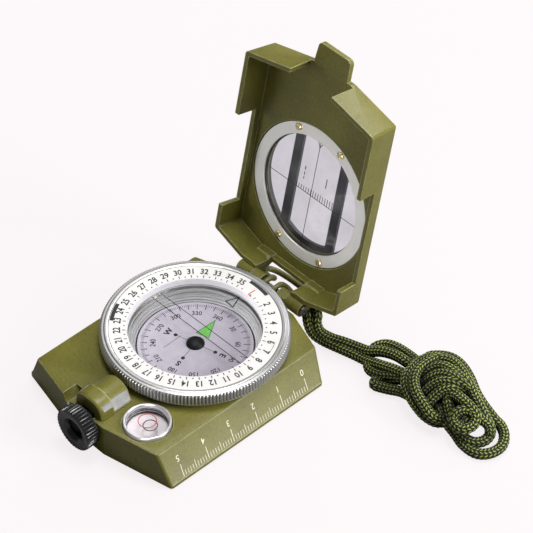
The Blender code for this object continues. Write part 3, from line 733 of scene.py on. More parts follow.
# ====================================================== prism and eyepiece
def shoulder(radius, degrees, square):
    """Point of the arch; a smaller square makes the shoulders fuller."""
    a = radians(degrees)
    return Vector((radius * abs(cos(a)) ** square, radius * sin(a) ** square))


def arch(radius, y, square=1.0, flat=False, foot=HOUSE_FOOT):
    """Arched outline across the base at this y; flat planes a facet on each shoulder."""
    angles = [8 + 2.5 * k for k in range(16)] + [48 + 3 * k for k in range(15)]
    half = [shoulder(radius, a, square) for a in angles]
    half[-1].x = 0.0
    if flat:
        low, high = half[0], half[16]
        half[1:16] = [low.lerp(high, k / 16) for k in range(1, 16)]
    points = [(half[0].x, foot - HOUSE_Z)] + [tuple(p) for p in half]
    points += [(-x, z) for x, z in points[-2::-1]]
    return [(x, y, HOUSE_Z + z) for x, z in points]


# stations of the housing: inset from HOUSE_R, y
HOUSE_FRONT = [(0.75, HOUSE_Y0), (0.35, HOUSE_Y0 + 0.15), (0.1, HOUSE_Y0 + 0.5),
               (0, HOUSE_Y0 + 1.0), (0, HOUSE_YS)]
HOUSE_REAR = [(0.12, HOUSE_YS + 0.12), (0.12, HOUSE_Y1 - 0.4), (0.25, HOUSE_Y1 - 0.1),
              (0.55, HOUSE_Y1)]
house = part("prism_housing", loft(
    [arch(HOUSE_R - inset, y, HOUSE_SQUARE) for inset, y in HOUSE_FRONT]
    + [arch(HOUSE_R - inset, y, flat=True) for inset, y in HOUSE_REAR]), OLIVE)
cut(house, box(-2.7, 2.7, -50, -35, 10, 13.0))   # over the sleeve
cut(house, loft([arch(HOUSE_R - HOUSE_WALL, y, foot=10.0)
                 for y in (HOUSE_Y0 + 1.3, HOUSE_Y1 - 1.2)]))
cut(house, box(-2.4, 2.4, HOUSE_Y1 - 2, HOUSE_Y1 + 1, 13.2, 15.0))   # opening towards the dial

part("prism", prism([(-36.1, 4.9), (-31.9, 9.1), (-31.9, 14.8), (-36.1, 14.8)], -2.8, 2.8, "YZ"),
     PRISM_GLASS)
part("eyepiece_sleeve", on_eye(tube(SLEEVE_BORE, SLEEVE_R, -46.6, -37.2, SEG_M)), BLACK)
part("lens_cell", on_eye(tube(2.6, 3.3, -42.6, -39.6, SEG_M)), BLACK)
lens_arc = [(2.4 * sin(a), 0.75 * cos(a)) for a in (radians(10 * k) for k in range(19))]
part("eyepiece_lens", on_eye(placed(lathe(lens_arc, 48), shift(z=-41.1))), LENS_GLASS)

# =============================================== level vial, capsule, window
part("level_vial", placed(lathe(
    [(0, 14.3), (2.2, 14.15), (4.1, 13.6), (5.4, 12.8), (6.05, 11.8), (6.05, 9.7), (0, 9.7)],
    SEG_M), level_at), LEVEL_GLASS)
part("capsule_gasket", tube(21.7, 23.3, 9.1, 9.7, 120), RUBBER)
part("capsule_glass", rod(19.8, 12.0, 12.75, SEG_L), CLEAR)
part("pivot_pin", lathe([(0, 10.2), (0.25, 10.1), (0.9, 9.0), (0.9, 6.6), (0, 6.6)], 32), STEEL)
part("compass_card", tube(1.95, CARD_R, CARD_Z0, CARD_Z1, SEG_L), CARD_LILAC)
part("card_magnet", tube(3.5, 7.0, 9.0, 9.8, 96), STEEL)
part("bezel_window", rod(WINDOW_R, 14.0, WINDOW_TOP, SEG_L), CLEAR)
part("bezel_spring", tube(24.65, 25.6, 12.2, 12.9, 120), STEEL)

# ==================================================================== cover
# Everything here is drawn with the cover closed, relative to the hinge axis.
axis = bpy.data.objects.new("cover_axis", None)
axis.empty_display_size = 0.01
scene.collection.objects.link(axis)
axis.location = Vector((0, HINGE_Y, HINGE_Z)) * MM
axis.rotation_euler = (-COVER_OPEN, 0, 0)


def lid_section(z, inset=0.0, corner=CORNER_R):
    w = COVER_HALF_W - COVER_DRAFT * max(z, 0) / COVER_OUT
    side_rear = REAR_SIDE_Y + 0.9
    points = [(w, FRONT_SIDE_Y), (w, side_rear), (14.2, 28.9), (-14.2, 28.9), (-w, side_rear),
              (-w, FRONT_SIDE_Y), (-FRONT_MID_X, FRONT_MID_Y), (FRONT_MID_X, FRONT_MID_Y)]
    outline = offset([(x, y - HINGE_Y) for x, y in points], inset)
    return level(rounded(outline, max(corner - inset, 0.3)), z)


def tab_section(z, inset, corner):
    y0, y1 = TAB_Y0 + inset - HINGE_Y, TAB_Y1 - HINGE_Y
    x0, x1 = TAB_X0 + inset, TAB_X1 - inset
    return level(rounded([(x1, y1), (x1, y0), (x0 + TAB_SKEW, y0), (x0, y1)], corner), z)


cover = part("cover", loft([
    lid_section(COVER_RIM), lid_section(COVER_OUT - 0.7), lid_section(COVER_OUT - 0.2, 0.2),
    lid_section(COVER_OUT, 0.7)]), OLIVE, axis)
cut(cover, loft([lid_section(z, COVER_WALL, 2.4) for z in (-2.0, COVER_IN)]))
for half_w, y0, y1, top in (
        (32, NOTCH_Y0, NOTCH_Y1, NOTCH_H),   # notch through both side walls
        (8.6, -50, -41.0, COVER_IN),         # gap in the front wall
        (7.65, 24.0, 32.0, 6.5)):            # gap in the rear wall, at the hinge
    cut(cover, box(-half_w, half_w, y0 - HINGE_Y, y1 - HINGE_Y, -3, top))
# room for the bezel when the cover is shut
cut(cover, placed(rod(BEZEL_R + 0.35, -3, 5.8, SEG_L), shift(y=-HINGE_Y)))
# tab that the hand opens the cover by
join(cover, loft([tab_section(COVER_IN + 0.006, 0, 1.6), tab_section(COVER_OUT - 0.55, 0, 1.6),
                  tab_section(COVER_OUT - 0.03, 0.5, 1.2)]))
# hinge arms
for side in (-1, 1):
    arm = polar(KNUCKLE_R, [50 - 5 * k for k in range(46)]) + [
        (-KNUCKLE_R, 4.4), (-4.3, 6.1), (-4.3, COVER_IN + 0.6), (-2.8, COVER_IN + 0.6)]
    join(cover, prism(arm, *sorted((side * 7.7, side * 13.5)), "YZ"))
cut(cover, along_x(rod(PIN_HOLE_R, -20, 20, SEG_S), 0, 0))

# window with its glass seat and ring seat, then the ring and its four slotted screws
to_sight = shift(y=SIGHT_Y - HINGE_Y)
cut(cover, placed(lathe([(0, 12), (19.0, 12), (19.0, 10.45), (20.9, 10.45), (20.9, 9.75),
                         (23.5, 9.75), (23.5, 7), (0, 7)], SEG_L), to_sight))
retainer = part("glass_retaining_ring",
                placed(tube(RING_R0, RING_R1, 9.05, 9.62, SEG_L), to_sight), RING_METAL, axis)
RING_SCREW_PROFILE = [(0, 10.4), (0.55, 10.4), (0.55, 8.95), (1.15, 8.95), (1.15, 8.6),
                      (0.9, 8.4), (0, 8.4)]
ring_screws = polar(RING_SCREW_R, (RING_SCREW_A, 180 - RING_SCREW_A, 180 + RING_SCREW_A,
                                   -RING_SCREW_A))
for n, (x, y) in enumerate(ring_screws, 1):
    at = shift(x, y + SIGHT_Y - HINGE_Y)
    cut(cover, placed(rod(0.7, 9.0, 10.5, 24), at))
    cut(retainer, placed(rod(0.7, 8.5, 10.2, 24), at))
    screw = part("ring_screw_%d" % n, placed(lathe(RING_SCREW_PROFILE, SEG_S), at), BRASS, axis)
    cut(screw, placed(box(-1.4, 1.4, -0.16, 0.16, 8.2, 8.68), turn(0.5 + 0.9 * n, "Z"), at))
part("cover_glass", placed(rod(20.6, 9.8, 10.3, SEG_L), to_sight), COVER_GLASS, axis)

# outer sight frame: a ring with two upright bars, on the outside of the cover
sight = part("sight_frame", placed(tube(SIGHT_R0, SIGHT_R1, 11.1, 12.5, SEG_L), to_sight),
             DARK_GREY, axis)
for x in (-BAR_X, BAR_X):
    join(sight, placed(box(x - BAR_HALF_W, x + BAR_HALF_W, -18.4, 18.4, 11.3, 12.3), to_sight))
# the frame's arc nearest the hinge reaches further in between the bars
frame_arc = polar(20.2, range(58, 123, 3)) + polar(17.4, range(121, 57, -3))
join(sight, placed(prism(frame_arc, 11.25, 12.38), to_sight))

# ================================================== hinge pin and thumb loop
pin = part("hinge_pin", along_x(lathe([
    (0, 14.4), (1.3, 14.4), (1.65, 14.1), (1.65, 13.75), (PIN_R, 13.75), (PIN_R, -13.6),
    (0, -13.6)], SEG_S)), PIN_STEEL)
cut(pin, placed(box(14.12, 14.7, -0.2, 0.2, -2, 2), turn(0.6, "X"), shift(y=HINGE_Y, z=HINGE_Z)))

# one half of the loop beyond its eye: x, distance from the pin
LOOP_STATIONS = [(5.4, 4.7), (8.2, 5.2), (9.6, 6.9), (9.4, 9.3), (7.4, 11.0), (3.8, 11.8)]
EYE_POINTS = 8


def hung(x, reach):
    """A point of the wire at this distance from the pin, in the drooping plane."""
    return (x, HINGE_Y + reach * cos(DROOP), HINGE_Z - reach * sin(DROOP))


def loop_side(sign):
    """Half of the wire: under the pin, up its -Y side, over the top and out to the far arc."""
    eye = polar(EYE_COIL_R, [300 - 30 * k for k in range(EYE_POINTS)], HINGE_Y, HINGE_Z)
    points = [(sign * 2.0, y, z) for y, z in eye]
    points += [(sign * 2.1, HINGE_Y + 2.0, HINGE_Z + 1.3),
               (sign * 2.9, HINGE_Y + 3.7, HINGE_Z - 0.6)]
    return points + [hung(sign * x, reach) for x, reach in LOOP_STATIONS]


wire = loop_side(-1) + [hung(0, 12.0)] + loop_side(1)[::-1]
wire = [p + (EYE_WIRE_R if min(i, len(wire) - 1 - i) < EYE_POINTS else WIRE_R,)
        for i, p in enumerate(wire)]
wire = catmull(wire, 8)
part("thumb_loop", sweep([p[:3] for p in wire], [p[3] for p in wire], 24), OLIVE_WIRE)

# ================================================= turned and ribbed pieces
# knurled bezel, seat for the number ring, shoulder and ribs: r, z, share of the groove depth
BEZEL_PROFILE = [
    (27.4, 12.5, 0), (25.9, 12.5, 0), (25.9, 13.3, 0), (19.8, 13.3, 0), (19.8, 13.85, 0),
    (20.6, 13.85, 0), (20.6, 14.75, 0), (21.25, 14.75, 0), (21.25, 16.95, 0), (26.0, 16.95, 0),
    (26.0, 17.66, 0), (26.10, 17.84, 0), (26.32, 17.94, 0), (26.8, 17.96, 0), (27.10, 17.90, 0),
    (27.28, 17.74, 0), (27.45, 17.68, 0), (27.70, 17.70, 0), (27.95, 17.66, 0),
    (28.2, 17.55, 0.12), (28.48, 17.38, 0.55), (28.64, 17.16, 0.85), (28.74, 16.9, 1),
    (BEZEL_R, 16.5, 1), (BEZEL_R, 14.3, 1), (28.74, 14.0, 1), (28.6, 13.84, 0.9),
    (28.35, 13.8, 0.6), (27.4, 13.8, 0)]
part("bezel_ring", ridged(BEZEL_PROFILE[::-1], ridges=168, per=8, depth=0.70, sharp=1.1),
     BEZEL_METAL)
part("card_hub", lathe([
    (0, 11.93), (0.9, 11.88), (1.7, 11.68), (2.35, 11.3), (2.76, 10.85), (2.84, 10.55),
    (2.7, 10.4), (1.75, 10.3), (1.75, 8.7), (1.35, 8.7), (0.5, 10.3), (0, 10.5)], 64), HUB_BLACK)
# bowl with four steps up its inner wall
bowl = [(0, 6.4), (18.0, 6.4), (18.0, 10.2)]
for k in range(4):
    r, z = 18.0 + 0.55 * k, 10.2 + 0.68 * k
    bowl += [(r + 0.05, z), (r + 0.42, z + 0.02), (r + 0.50, z + 0.12), (r + 0.55, z + 0.62)]
bowl += [(20.35, 13.0), (21.0, 13.0), (21.0, 8.9), (23.2, 8.9), (23.2, 7.6), (20.9, 7.6),
         (20.9, 5.0), (0, 5.0)]
part("capsule_bowl", lathe(bowl, 200), CHAMBER_METAL)
part("level_cup", placed(lathe([
    (LEVEL_R - 0.1, 12.9), (LEVEL_R, 12.7), (LEVEL_R, 8.8), (1.0, 8.8), (1.0, 9.5), (6.3, 9.5),
    (6.3, 12.3), (6.42, 12.75), (6.62, 12.98), (6.9, 13.04), (7.05, 13.0)], 96), level_at),
    LEVEL_METAL)
# number ring: a flat white face with a skirt that runs down to the window
part("bezel_scale_ring", lathe([
    (SCALE_R0, 15.05), (20.95, 15.05), (20.95, 17.25), (SCALE_R1, 17.25), (25.9, 17.25),
    (25.9, SCALE_TOP - 0.05), (25.85, SCALE_TOP), (SCALE_R0 + 0.06, SCALE_TOP),
    (SCALE_R0, SCALE_TOP - 0.06)][::-1], 200), DIAL_WHITE)
# focusing knob: ribs, dished front, stepped eye hole; r, y, share of the groove depth
KNOB_PROFILE = [
    (6.55, KNOB_Y1, 0.2), (6.85, KNOB_Y1 - 0.12, 0.7), (KNOB_R, KNOB_Y1 - 0.4, 1),
    (KNOB_R, KNOB_Y0 + 0.5, 1), (6.86, KNOB_Y0 + 0.2, 0.9), (6.5, KNOB_Y0, 0.35),
    (5.9, KNOB_Y0 - 0.02, 0), (5.35, KNOB_Y0, 0), (5.2, KNOB_Y0 + 0.12, 0),
    (5.0, KNOB_Y0 + 0.16, 0), (4.3, KNOB_Y0 + 0.2, 0), (4.05, KNOB_Y0 + 0.34, 0),
    (3.55, KNOB_Y0 + 0.8, 0), (3.1, KNOB_Y0 + 1.3, 0), (3.0, KNOB_Y0 + 1.8, 0),
    (4.7, KNOB_Y0 + 1.8, 0), (4.7, KNOB_Y1, 0)]
part("focus_knob", on_eye(ridged(KNOB_PROFILE[::-1], ridges=38, per=12, depth=0.80, sharp=1.2)),
     KNOB_BLACK)


# ========================================================== finished pieces
def finish(name, mesh, body, replaced=None):
    """Object with smooth faces and sharp edges, riding on its body."""
    mesh.shade_smooth()
    mesh.set_sharp_from_angle(angle=radians(32))
    obj = bpy.data.objects.new(name, mesh)
    scene.collection.objects.link(obj)
    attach(obj, body)
    if replaced:
        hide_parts(replaced)


def settle():
    """Turn every source object into a finished mesh in world coordinates."""
    bpy.context.view_layer.update()
    graph = bpy.context.evaluated_depsgraph_get()
    meshes = {}
    for name, obj in PARTS.items():
        mesh = bpy.data.meshes.new_from_object(obj.evaluated_get(graph), depsgraph=graph)
        mesh.transform(obj.matrix_world)
        mesh.name = "vis_" + name
        meshes[name] = (mesh, obj.data.materials[0])
    for obj in list(PARTS.values()) + TOOLS:
        bpy.data.objects.remove(obj)
    for name, (mesh, mat) in meshes.items():
        mesh.materials.clear()
        mesh.materials.append(mat)
        finish("vis_" + name, mesh, BODY[name], name)


def detail(name, bm, mat, body, recalc=True):
    """An extra piece that stands for no CAD piece."""
    if recalc:
        bmesh.ops.recalc_face_normals(bm, faces=bm.faces)
    finish(name, mesh_from(name, bm, mat), body)


settle()

# pale grey patches on the shoulders of the prism housing, painted reflections of a lamp:
# name, angles of the two edges, radius, squareness, y0, y1, how far they stand proud
for name, angles, radius, square, y0, y1, proud in (
        ("rear", (7, 47), HOUSE_FLAT_R, 1.0, HOUSE_YS + 0.2, HOUSE_Y1 - 0.45, 0.03),
        ("front", (24, 44), HOUSE_R, HOUSE_SQUARE, HOUSE_Y0 + 1.3, HOUSE_YS - 0.3, 0.16)):
    for side, hand in ((-1, "left"), (1, "right")):
        low, high = [Vector((side * p.x, HOUSE_Z + p.y))
                     for p in (shoulder(radius, a, square) for a in angles)]
        along = (high - low).normalized()
        out = Vector((along.y, -along.x)) * side
        ring = [low + out * proud, high + out * proud, high - out * 0.2, low - out * 0.2]
        detail("housing_pane_%s_%s" % (name, hand), prism(ring, y0, y1, "XZ"), REFLECTION_PATCH, "root")


# =================================================================== prints
class Print:
    """Marks a few hundredths of a millimetre thick, gathered into one mesh (mm)."""

    def __init__(self, thick=0.02):
        self.bm = bmesh.new()
        self.thick = thick

    def add(self, bm, matrix):
        mesh = bpy.data.meshes.new("mark")
        bm.transform(matrix)
        bm.to_mesh(mesh)
        bm.free()
        self.bm.from_mesh(mesh)
        bpy.data.meshes.remove(mesh)

    def shape(self, points, matrix, extra=0.0):
        self.add(prism(points, 0, self.thick + extra), matrix)

    def strip(self, points, width, matrix, closed=False):
        """A polyline drawn with this width."""
        pairs = list(zip(points, points[1:])) + ([(points[-1], points[0])] if closed else [])
        for k, (p, q) in enumerate(pairs):
            p, q = Vector(p), Vector(q)
            d = (q - p).normalized()
            s = Vector((-d.y, d.x)) * width / 2
            e = d * width / 2 if len(pairs) > 1 else d * 0
            # heights differ a little where segments overlap
            self.shape([p - e - s, q + e - s, q + e + s, p - e + s], matrix, 0.001 * (k % 3))

    def dot(self, x, y, r, matrix, n=14):
        self.shape([(x + r * cos(2 * pi * k / n), y + r * sin(2 * pi * k / n))
                    for k in range(n)], matrix)

    def arc(self, r0, r1, a0, a1, matrix, n=24):
        """Ring sector; angles clockwise from +Y, in degrees."""
        for k in range(n):
            t0, t1 = (radians(a0 + (a1 - a0) * (k + i) / n) for i in (0, 1))
            self.shape([(r1 * sin(t0), r1 * cos(t0)), (r1 * sin(t1), r1 * cos(t1)),
                        (r0 * sin(t1), r0 * cos(t1)), (r0 * sin(t0), r0 * cos(t0))], matrix)

    def text(self, body, size, matrix, bold=0.0, squeeze=1.0):
        """Text centred on the origin of matrix; bold fattens it, squeeze narrows it."""
        curve = bpy.data.curves.new("text", "FONT")
        curve.body, curve.size, curve.resolution_u = str(body), size, 4
        curve.align_x, curve.align_y = "CENTER", "CENTER"
        curve.extrude, curve.offset = self.thick / 2, bold
        obj = bpy.data.objects.new("text", curve)
        scene.collection.objects.link(obj)
        graph = bpy.context.evaluated_depsgraph_get()
        mesh = bpy.data.meshes.new_from_object(obj.evaluated_get(graph), depsgraph=graph)
        bpy.data.objects.remove(obj)
        bm = bmesh.new()
        bm.from_mesh(mesh)
        bmesh.ops.remove_doubles(bm, verts=bm.verts, dist=1e-5)
        ys = [v.co.y for v in bm.verts]
        bm.transform(Matrix.Diagonal((squeeze, 1, 1, 1))
                     @ shift(0, -(min(ys) + max(ys)) / 2, self.thick / 2))
        self.add(bm, matrix)

    def done(self, name, mat, body):
        obj = bpy.data.objects.new(name, mesh_from(name, self.bm, mat))
        scene.collection.objects.link(obj)
        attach(obj, body)


GAP = 0.004   # prints float this far over their surface


def at_clock(angle, r, z):
    """Frame at this clockwise angle from +Y in degrees, its Y axis pointing outwards."""
    return shift(z=z) @ turn(radians(-angle), "Z") @ shift(y=r)


# ---- number ring
RING_TURN = -0.6
top = SCALE_TOP + GAP
on_top = shift(z=top)
black = Print()
for n in range(36):
    angle = n * 10 + RING_TURN
    if n:
        black.strip([(0, 20.75), (0, 21.80)], 0.26, at_clock(angle, 0, top))
    black.dot(0, 21.2, 0.24, at_clock(n * 10 + 5 + RING_TURN, 0, top))
    if n >= 2:
        black.text(n, 3.05, at_clock(angle, 23.45, top), bold=0.075, squeeze=0.82)
black.arc(24.55, 25.75, -6.0, 11.5, on_top)
black.arc(24.55, 25.75, -131.0, -114.5, on_top)
# thin bracket at the rim
black.arc(24.55, 24.68, 58.5, 69.0, on_top)
black.strip([(0, 22.6), (0, 24.6)], 0.13, at_clock(69.0, 0, top))
black.strip([(0, 23.9), (0, 24.6)], 0.13, at_clock(58.5, 0, top))
black.done("ring_print_black", INK, "bezel")
red = Print()
red_mark = at_clock(2.6, 0, top)
red.strip([(0, 20.7), (0, 23.6)], 0.32, red_mark)
red.strip([(0.25, 20.85), (1.3, 20.85)], 0.30, red_mark)
red.done("ring_print_red", INK_RED, "bezel")

# ---- thin liners inside the bezel, the skirt's one painted light (whiter than the ring, against its shade), and a line round the skirt: r0, r1, z0, z1, steps
for name, r0, r1, z0, z1, steps, mat in (
        ("skirt_liner", 20.33, 20.39, 15.02, 17.60, 160, SKIRT_PAINTED_LIGHT),
        ("wall_liner_upper", 20.25, 20.33, 14.78, 14.98, 160, CHAMBER_METAL),
        ("wall_liner", 19.70, 19.78, 13.10, 13.95, 160, CHAMBER_METAL),
        ("skirt_line_1", 20.29, 20.32, 15.22, 15.35, 120, INK_GREY)):
    detail(name, tube(r0, r1, z0, z1, steps), mat, "bezel")

# ---- window: two slightly slanting lines and an arrow
black = Print()
pane = shift(z=WINDOW_TOP + GAP)
for y in (1.15, 4.2):
    half = sqrt(20.2 ** 2 - y * y)
    rise = 0.0175 * half
    black.strip([(-half, y - rise), (half, y + rise)], 0.25, pane)
black.strip([(-3.75, 15.9), (-2.1, 20.0), (-0.45, 15.75)], 0.42, pane, closed=True)
black.done("window_lines", INK, "bezel")

# ---- compass card
CARD_TURN = -15.5
NORTH = [(-2.25, 4.0), (2.25, 4.0), (0, 11.4)]
card_z = CARD_Z1 + GAP
black = Print()
grey = Print()
for n in range(180):
    tick = at_clock(n * 2 + CARD_TURN, 0, card_z)
    if n % 5 == 0:
        black.strip([(0, 14.5), (0, 16.5)], 0.25, tick)
    else:
        grey.strip([(0, 15.5), (0, 16.45)], 0.14, tick)
for n in range(1, 13):
    black.text(n * 30, 2.3, at_clock(n * 30 + CARD_TURN, 12.75, card_z), bold=0.03, squeeze=0.92)
for letter, angle in (("E", 90), ("S", 180), ("W", 270)):
    spoke = at_clock(angle + CARD_TURN, 0, card_z)
    black.text(letter, 2.7, at_clock(angle + CARD_TURN, 9.6, card_z), bold=0.09)
    black.dot(0, 7.0, 0.62, spoke, 24)
    black.strip([(0, 2.4), (0, 6.6)], 0.13, spoke)
black.strip([(-5.4, -0.9), (-5.25, -8.1)], 0.12, shift(z=card_z))
black.strip(NORTH, 0.14, at_clock(CARD_TURN, 0, card_z + 0.02), closed=True)
black.done("card_print_black", INK, "dial")
grey.done("card_print_fine", INK_GREY, "dial")
green = Print()
green.shape(NORTH, at_clock(CARD_TURN, 0, card_z))
green.done("card_print_green", INK_GREEN, "dial")
grey = Print()
grey.arc(17.45, 17.58, 0, 360, shift(z=card_z), 120)
grey.done("card_print_rim", INK_GREY, "dial")

# ---- ruler on the sloping +X side, drawn with x along the edge and y up the slope
RULER_ZERO = 16.94
RULER_FOOT = Vector((31.1, 0, SLOPE_Z0))
along = Vector((0, 1, 0))
up = Vector((-(FOOT_HALF_W - TOP_HALF_W), 0, BASE_H - LIP_H - 0.4)).normalized()
out = along.cross(up)
face = (Matrix.Translation(RULER_FOOT + out * GAP)
        @ Matrix((along, up, out)).transposed().to_4x4())
ruler = Print(0.03)
for n in range(51):
    y = RULER_ZERO - n
    tall = 4.15 if n % 10 == 0 else 2.75 if n % 5 == 0 else 1.75
    ruler.strip([(y, 0.0), (y, tall)], 0.22 if n % 10 == 0 else 0.17, face)
for n in range(6):
    ruler.text(n, 2.9, face @ shift(RULER_ZERO - 10 * n - 0.2, 6.25) @ turn(pi, "Z"),
               bold=0.02, squeeze=0.9)
ruler.done("ruler_print", INK_CREAM, "root")

# ---- sighting glass, drawn by distance from the hinge
lines = Print(0.025)
glass_face = shift(0, HINGE_Y, HINGE_Z) @ turn(-COVER_OPEN, "X") @ shift(z=9.77)


def on_glass(points, width, closed=False):
    lines.strip([(x, -reach) for x, reach in points], width, glass_face, closed)


on_glass([(-18.8, 30.7), (18.8, 30.7)], 0.21)
on_glass([(0, 12.9), (0, 50.0)], 0.21)
for n in range(16):
    on_glass([(n - 6.2, 30.7), (n - 6.2, 30.7 + 1.5 + 0.08 * n)], 0.22)
on_glass([(-0.95, 50.1), (0, 48.1), (0.95, 50.1)], 0.24, True)
on_glass([(-0.6, 12.9), (0.6, 12.9)], 0.3)
# short dashes beside the centre line: x, start, end
for x, start, end in ((-3.9, 34.6, 35.5), (-3.9, 36.1, 37.2), (-3.9, 37.9, 39.3),
                      (5.1, 36.4, 39.7)):
    on_glass([(x, start), (x, end)], 0.3)
lines.done("cover_glass_lines", INK, "lid")

# ---- bubble level
CIRCLE_R = 2.7
red = Print()
for k in range(40):
    ends = [(LEVEL_X + CIRCLE_R * cos(a), LEVEL_Y + CIRCLE_R * sin(a))
            for a in (2 * pi * (k + i) / 40 for i in (0, 1))]
    red.strip(ends, 0.24, shift(z=13.0))
red.done("level_circle", INK_RED, "root")
pink = Print(0.08)
pink.dot(LEVEL_X, LEVEL_Y, 6.15, shift(z=9.52), 72)
pink.done("level_floor", FLOOR_PINK, "root")


def cup_band(z0, z1, reach, mid):
    """Crescent of painted shade on the cup's wall, from mid - reach to mid + reach degrees from +X.
    """
    sections = []
    for k in range(49):
        f = k / 24 - 1
        half = (z1 - z0) / 2 * max(0.02, (1 - f * f) ** 0.5)
        a, zm = radians(mid + reach * f), (z0 + z1) / 2
        sections.append([(LEVEL_X + r * cos(a), LEVEL_Y + r * sin(a), z) for r, z in
                         ((6.20, zm - half), (6.20, zm + half),
                          (6.27, zm + half), (6.27, zm - half))])
    return loft(sections)


# painted shade: dark bands on the far wall of the cup, seen through the vial
for n, band in enumerate(((9.75, 10.35, 86, 136), (10.75, 11.25, 70, 128),
                          (11.55, 11.80, 58, 150))):
    detail("level_band_%d" % n, cup_band(*band), CUP_SHADE, "root")

BUBBLE_X, BUBBLE_Y = LEVEL_X + 1.5, LEVEL_Y - 0.2
bubble = bmesh.new()
bmesh.ops.create_uvsphere(bubble, u_segments=32, v_segments=16, radius=2.0)
bubble.transform(shift(BUBBLE_X, BUBBLE_Y, 12.35) @ Matrix.Diagonal((1, 1, 0.28, 1)))
detail("level_bubble", bubble, BUBBLE, "root", recalc=False)
# painted shade: a grey ring round the bubble's edge
skin = lathe(polar(0.16, [-40 * k for k in range(9)], 2.12), 64)
detail("level_bubble_skin", placed(skin, shift(BUBBLE_X, BUBBLE_Y, 12.40)), INK_GREY, "root",
       recalc=False)

# ================================================================== lanyard
CORD_R = 1.72
COLUMNS = 10    # rows of stitches round the cord
PITCH = 1.15    # stitch length along it
STEP = 0.16     # spacing of the mesh rings
AROUND = 48     # vertices in each ring


def smooth_path(points):
    """Evenly spaced points along a smoothed path, and their distances along it."""
    pts = np.array(catmull(points, 14), float)
    for _ in range(3):
        pts[1:-1] = 0.25 * pts[:-2] + 0.5 * pts[1:-1] + 0.25 * pts[2:]
    s = np.concatenate([[0], np.cumsum(np.linalg.norm(np.diff(pts, axis=0), axis=1))])
    t = np.linspace(0, s[-1], int(s[-1] / STEP))
    return np.stack([np.interp(t, s, pts[:, i]) for i in range(3)], 1), t


def braid(name, points, phase, radius, body, replaced):
    """Tubular braid: stitches lean alternately left and right round the cord."""
    path, s = smooth_path(points)
    count = len(path)
    tangent = np.gradient(path, axis=0)
    tangent /= np.linalg.norm(tangent, axis=1)[:, None]
    side = np.zeros_like(path)
    ref = np.cross(tangent[0], (0, 0, 1.0))
    for i in range(count):
        ref = ref - tangent[i] * (ref @ tangent[i])
        ref /= np.linalg.norm(ref)
        side[i] = ref
    up = np.cross(side, tangent)
    a = np.linspace(0, 2 * np.pi, AROUND, endpoint=False)
    column = a * COLUMNS / (2 * np.pi) + 0.35
    row = np.floor(column)
    across = column - row - 0.5     # -0.5 to 0.5 over the width of a stitch
    lean = np.where(row % 2 == 0, 1.0, -1.0)
    along = (s[:, None] / PITCH + phase + lean[None, :] * across[None, :] * 0.85) % 1.0
    stitch = (np.clip(np.sin(np.pi * along), 0, 1) ** 0.8
              * np.clip(np.cos(np.pi * across[None, :] * 0.98), 0, 1) ** 0.6)
    r = radius * (0.86 + 0.15 * stitch)
    # round off the last 1.2 mm at both ends
    ends = np.minimum(s, s[-1] - s)
    r *= np.sqrt(np.clip(1 - (1 - np.clip(ends / 1.2, 0, 1)) ** 2, 0.02, 1))[:, None]
    verts = path[:, None, :] + r[:, :, None] * (np.cos(a)[None, :, None] * side[:, None, :]
                                                + np.sin(a)[None, :, None] * up[:, None, :])
    index = np.arange(count * AROUND).reshape(count, AROUND)
    after = np.roll(index, -1, axis=1)
    quads = np.stack([index[:-1], after[:-1], after[1:], index[1:]], -1).reshape(-1, 4)
    faces = quads.tolist() + [index[0][::-1].tolist(), index[-1].tolist()]
    mesh = bpy.data.meshes.new(name)
    mesh.from_pydata((verts.reshape(-1, 3) * MM).tolist(), [], faces)
    mesh.update()
    attribute = mesh.attributes.new("stitch", "FLOAT", "POINT")
    attribute.data.foreach_set("value", stitch.reshape(-1).astype(np.float32))
    mesh.materials.append(CORD)
    mesh.shade_smooth()
    obj = bpy.data.objects.new(name, mesh)
    scene.collection.objects.link(obj)
    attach(obj, body)
    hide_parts(replaced)


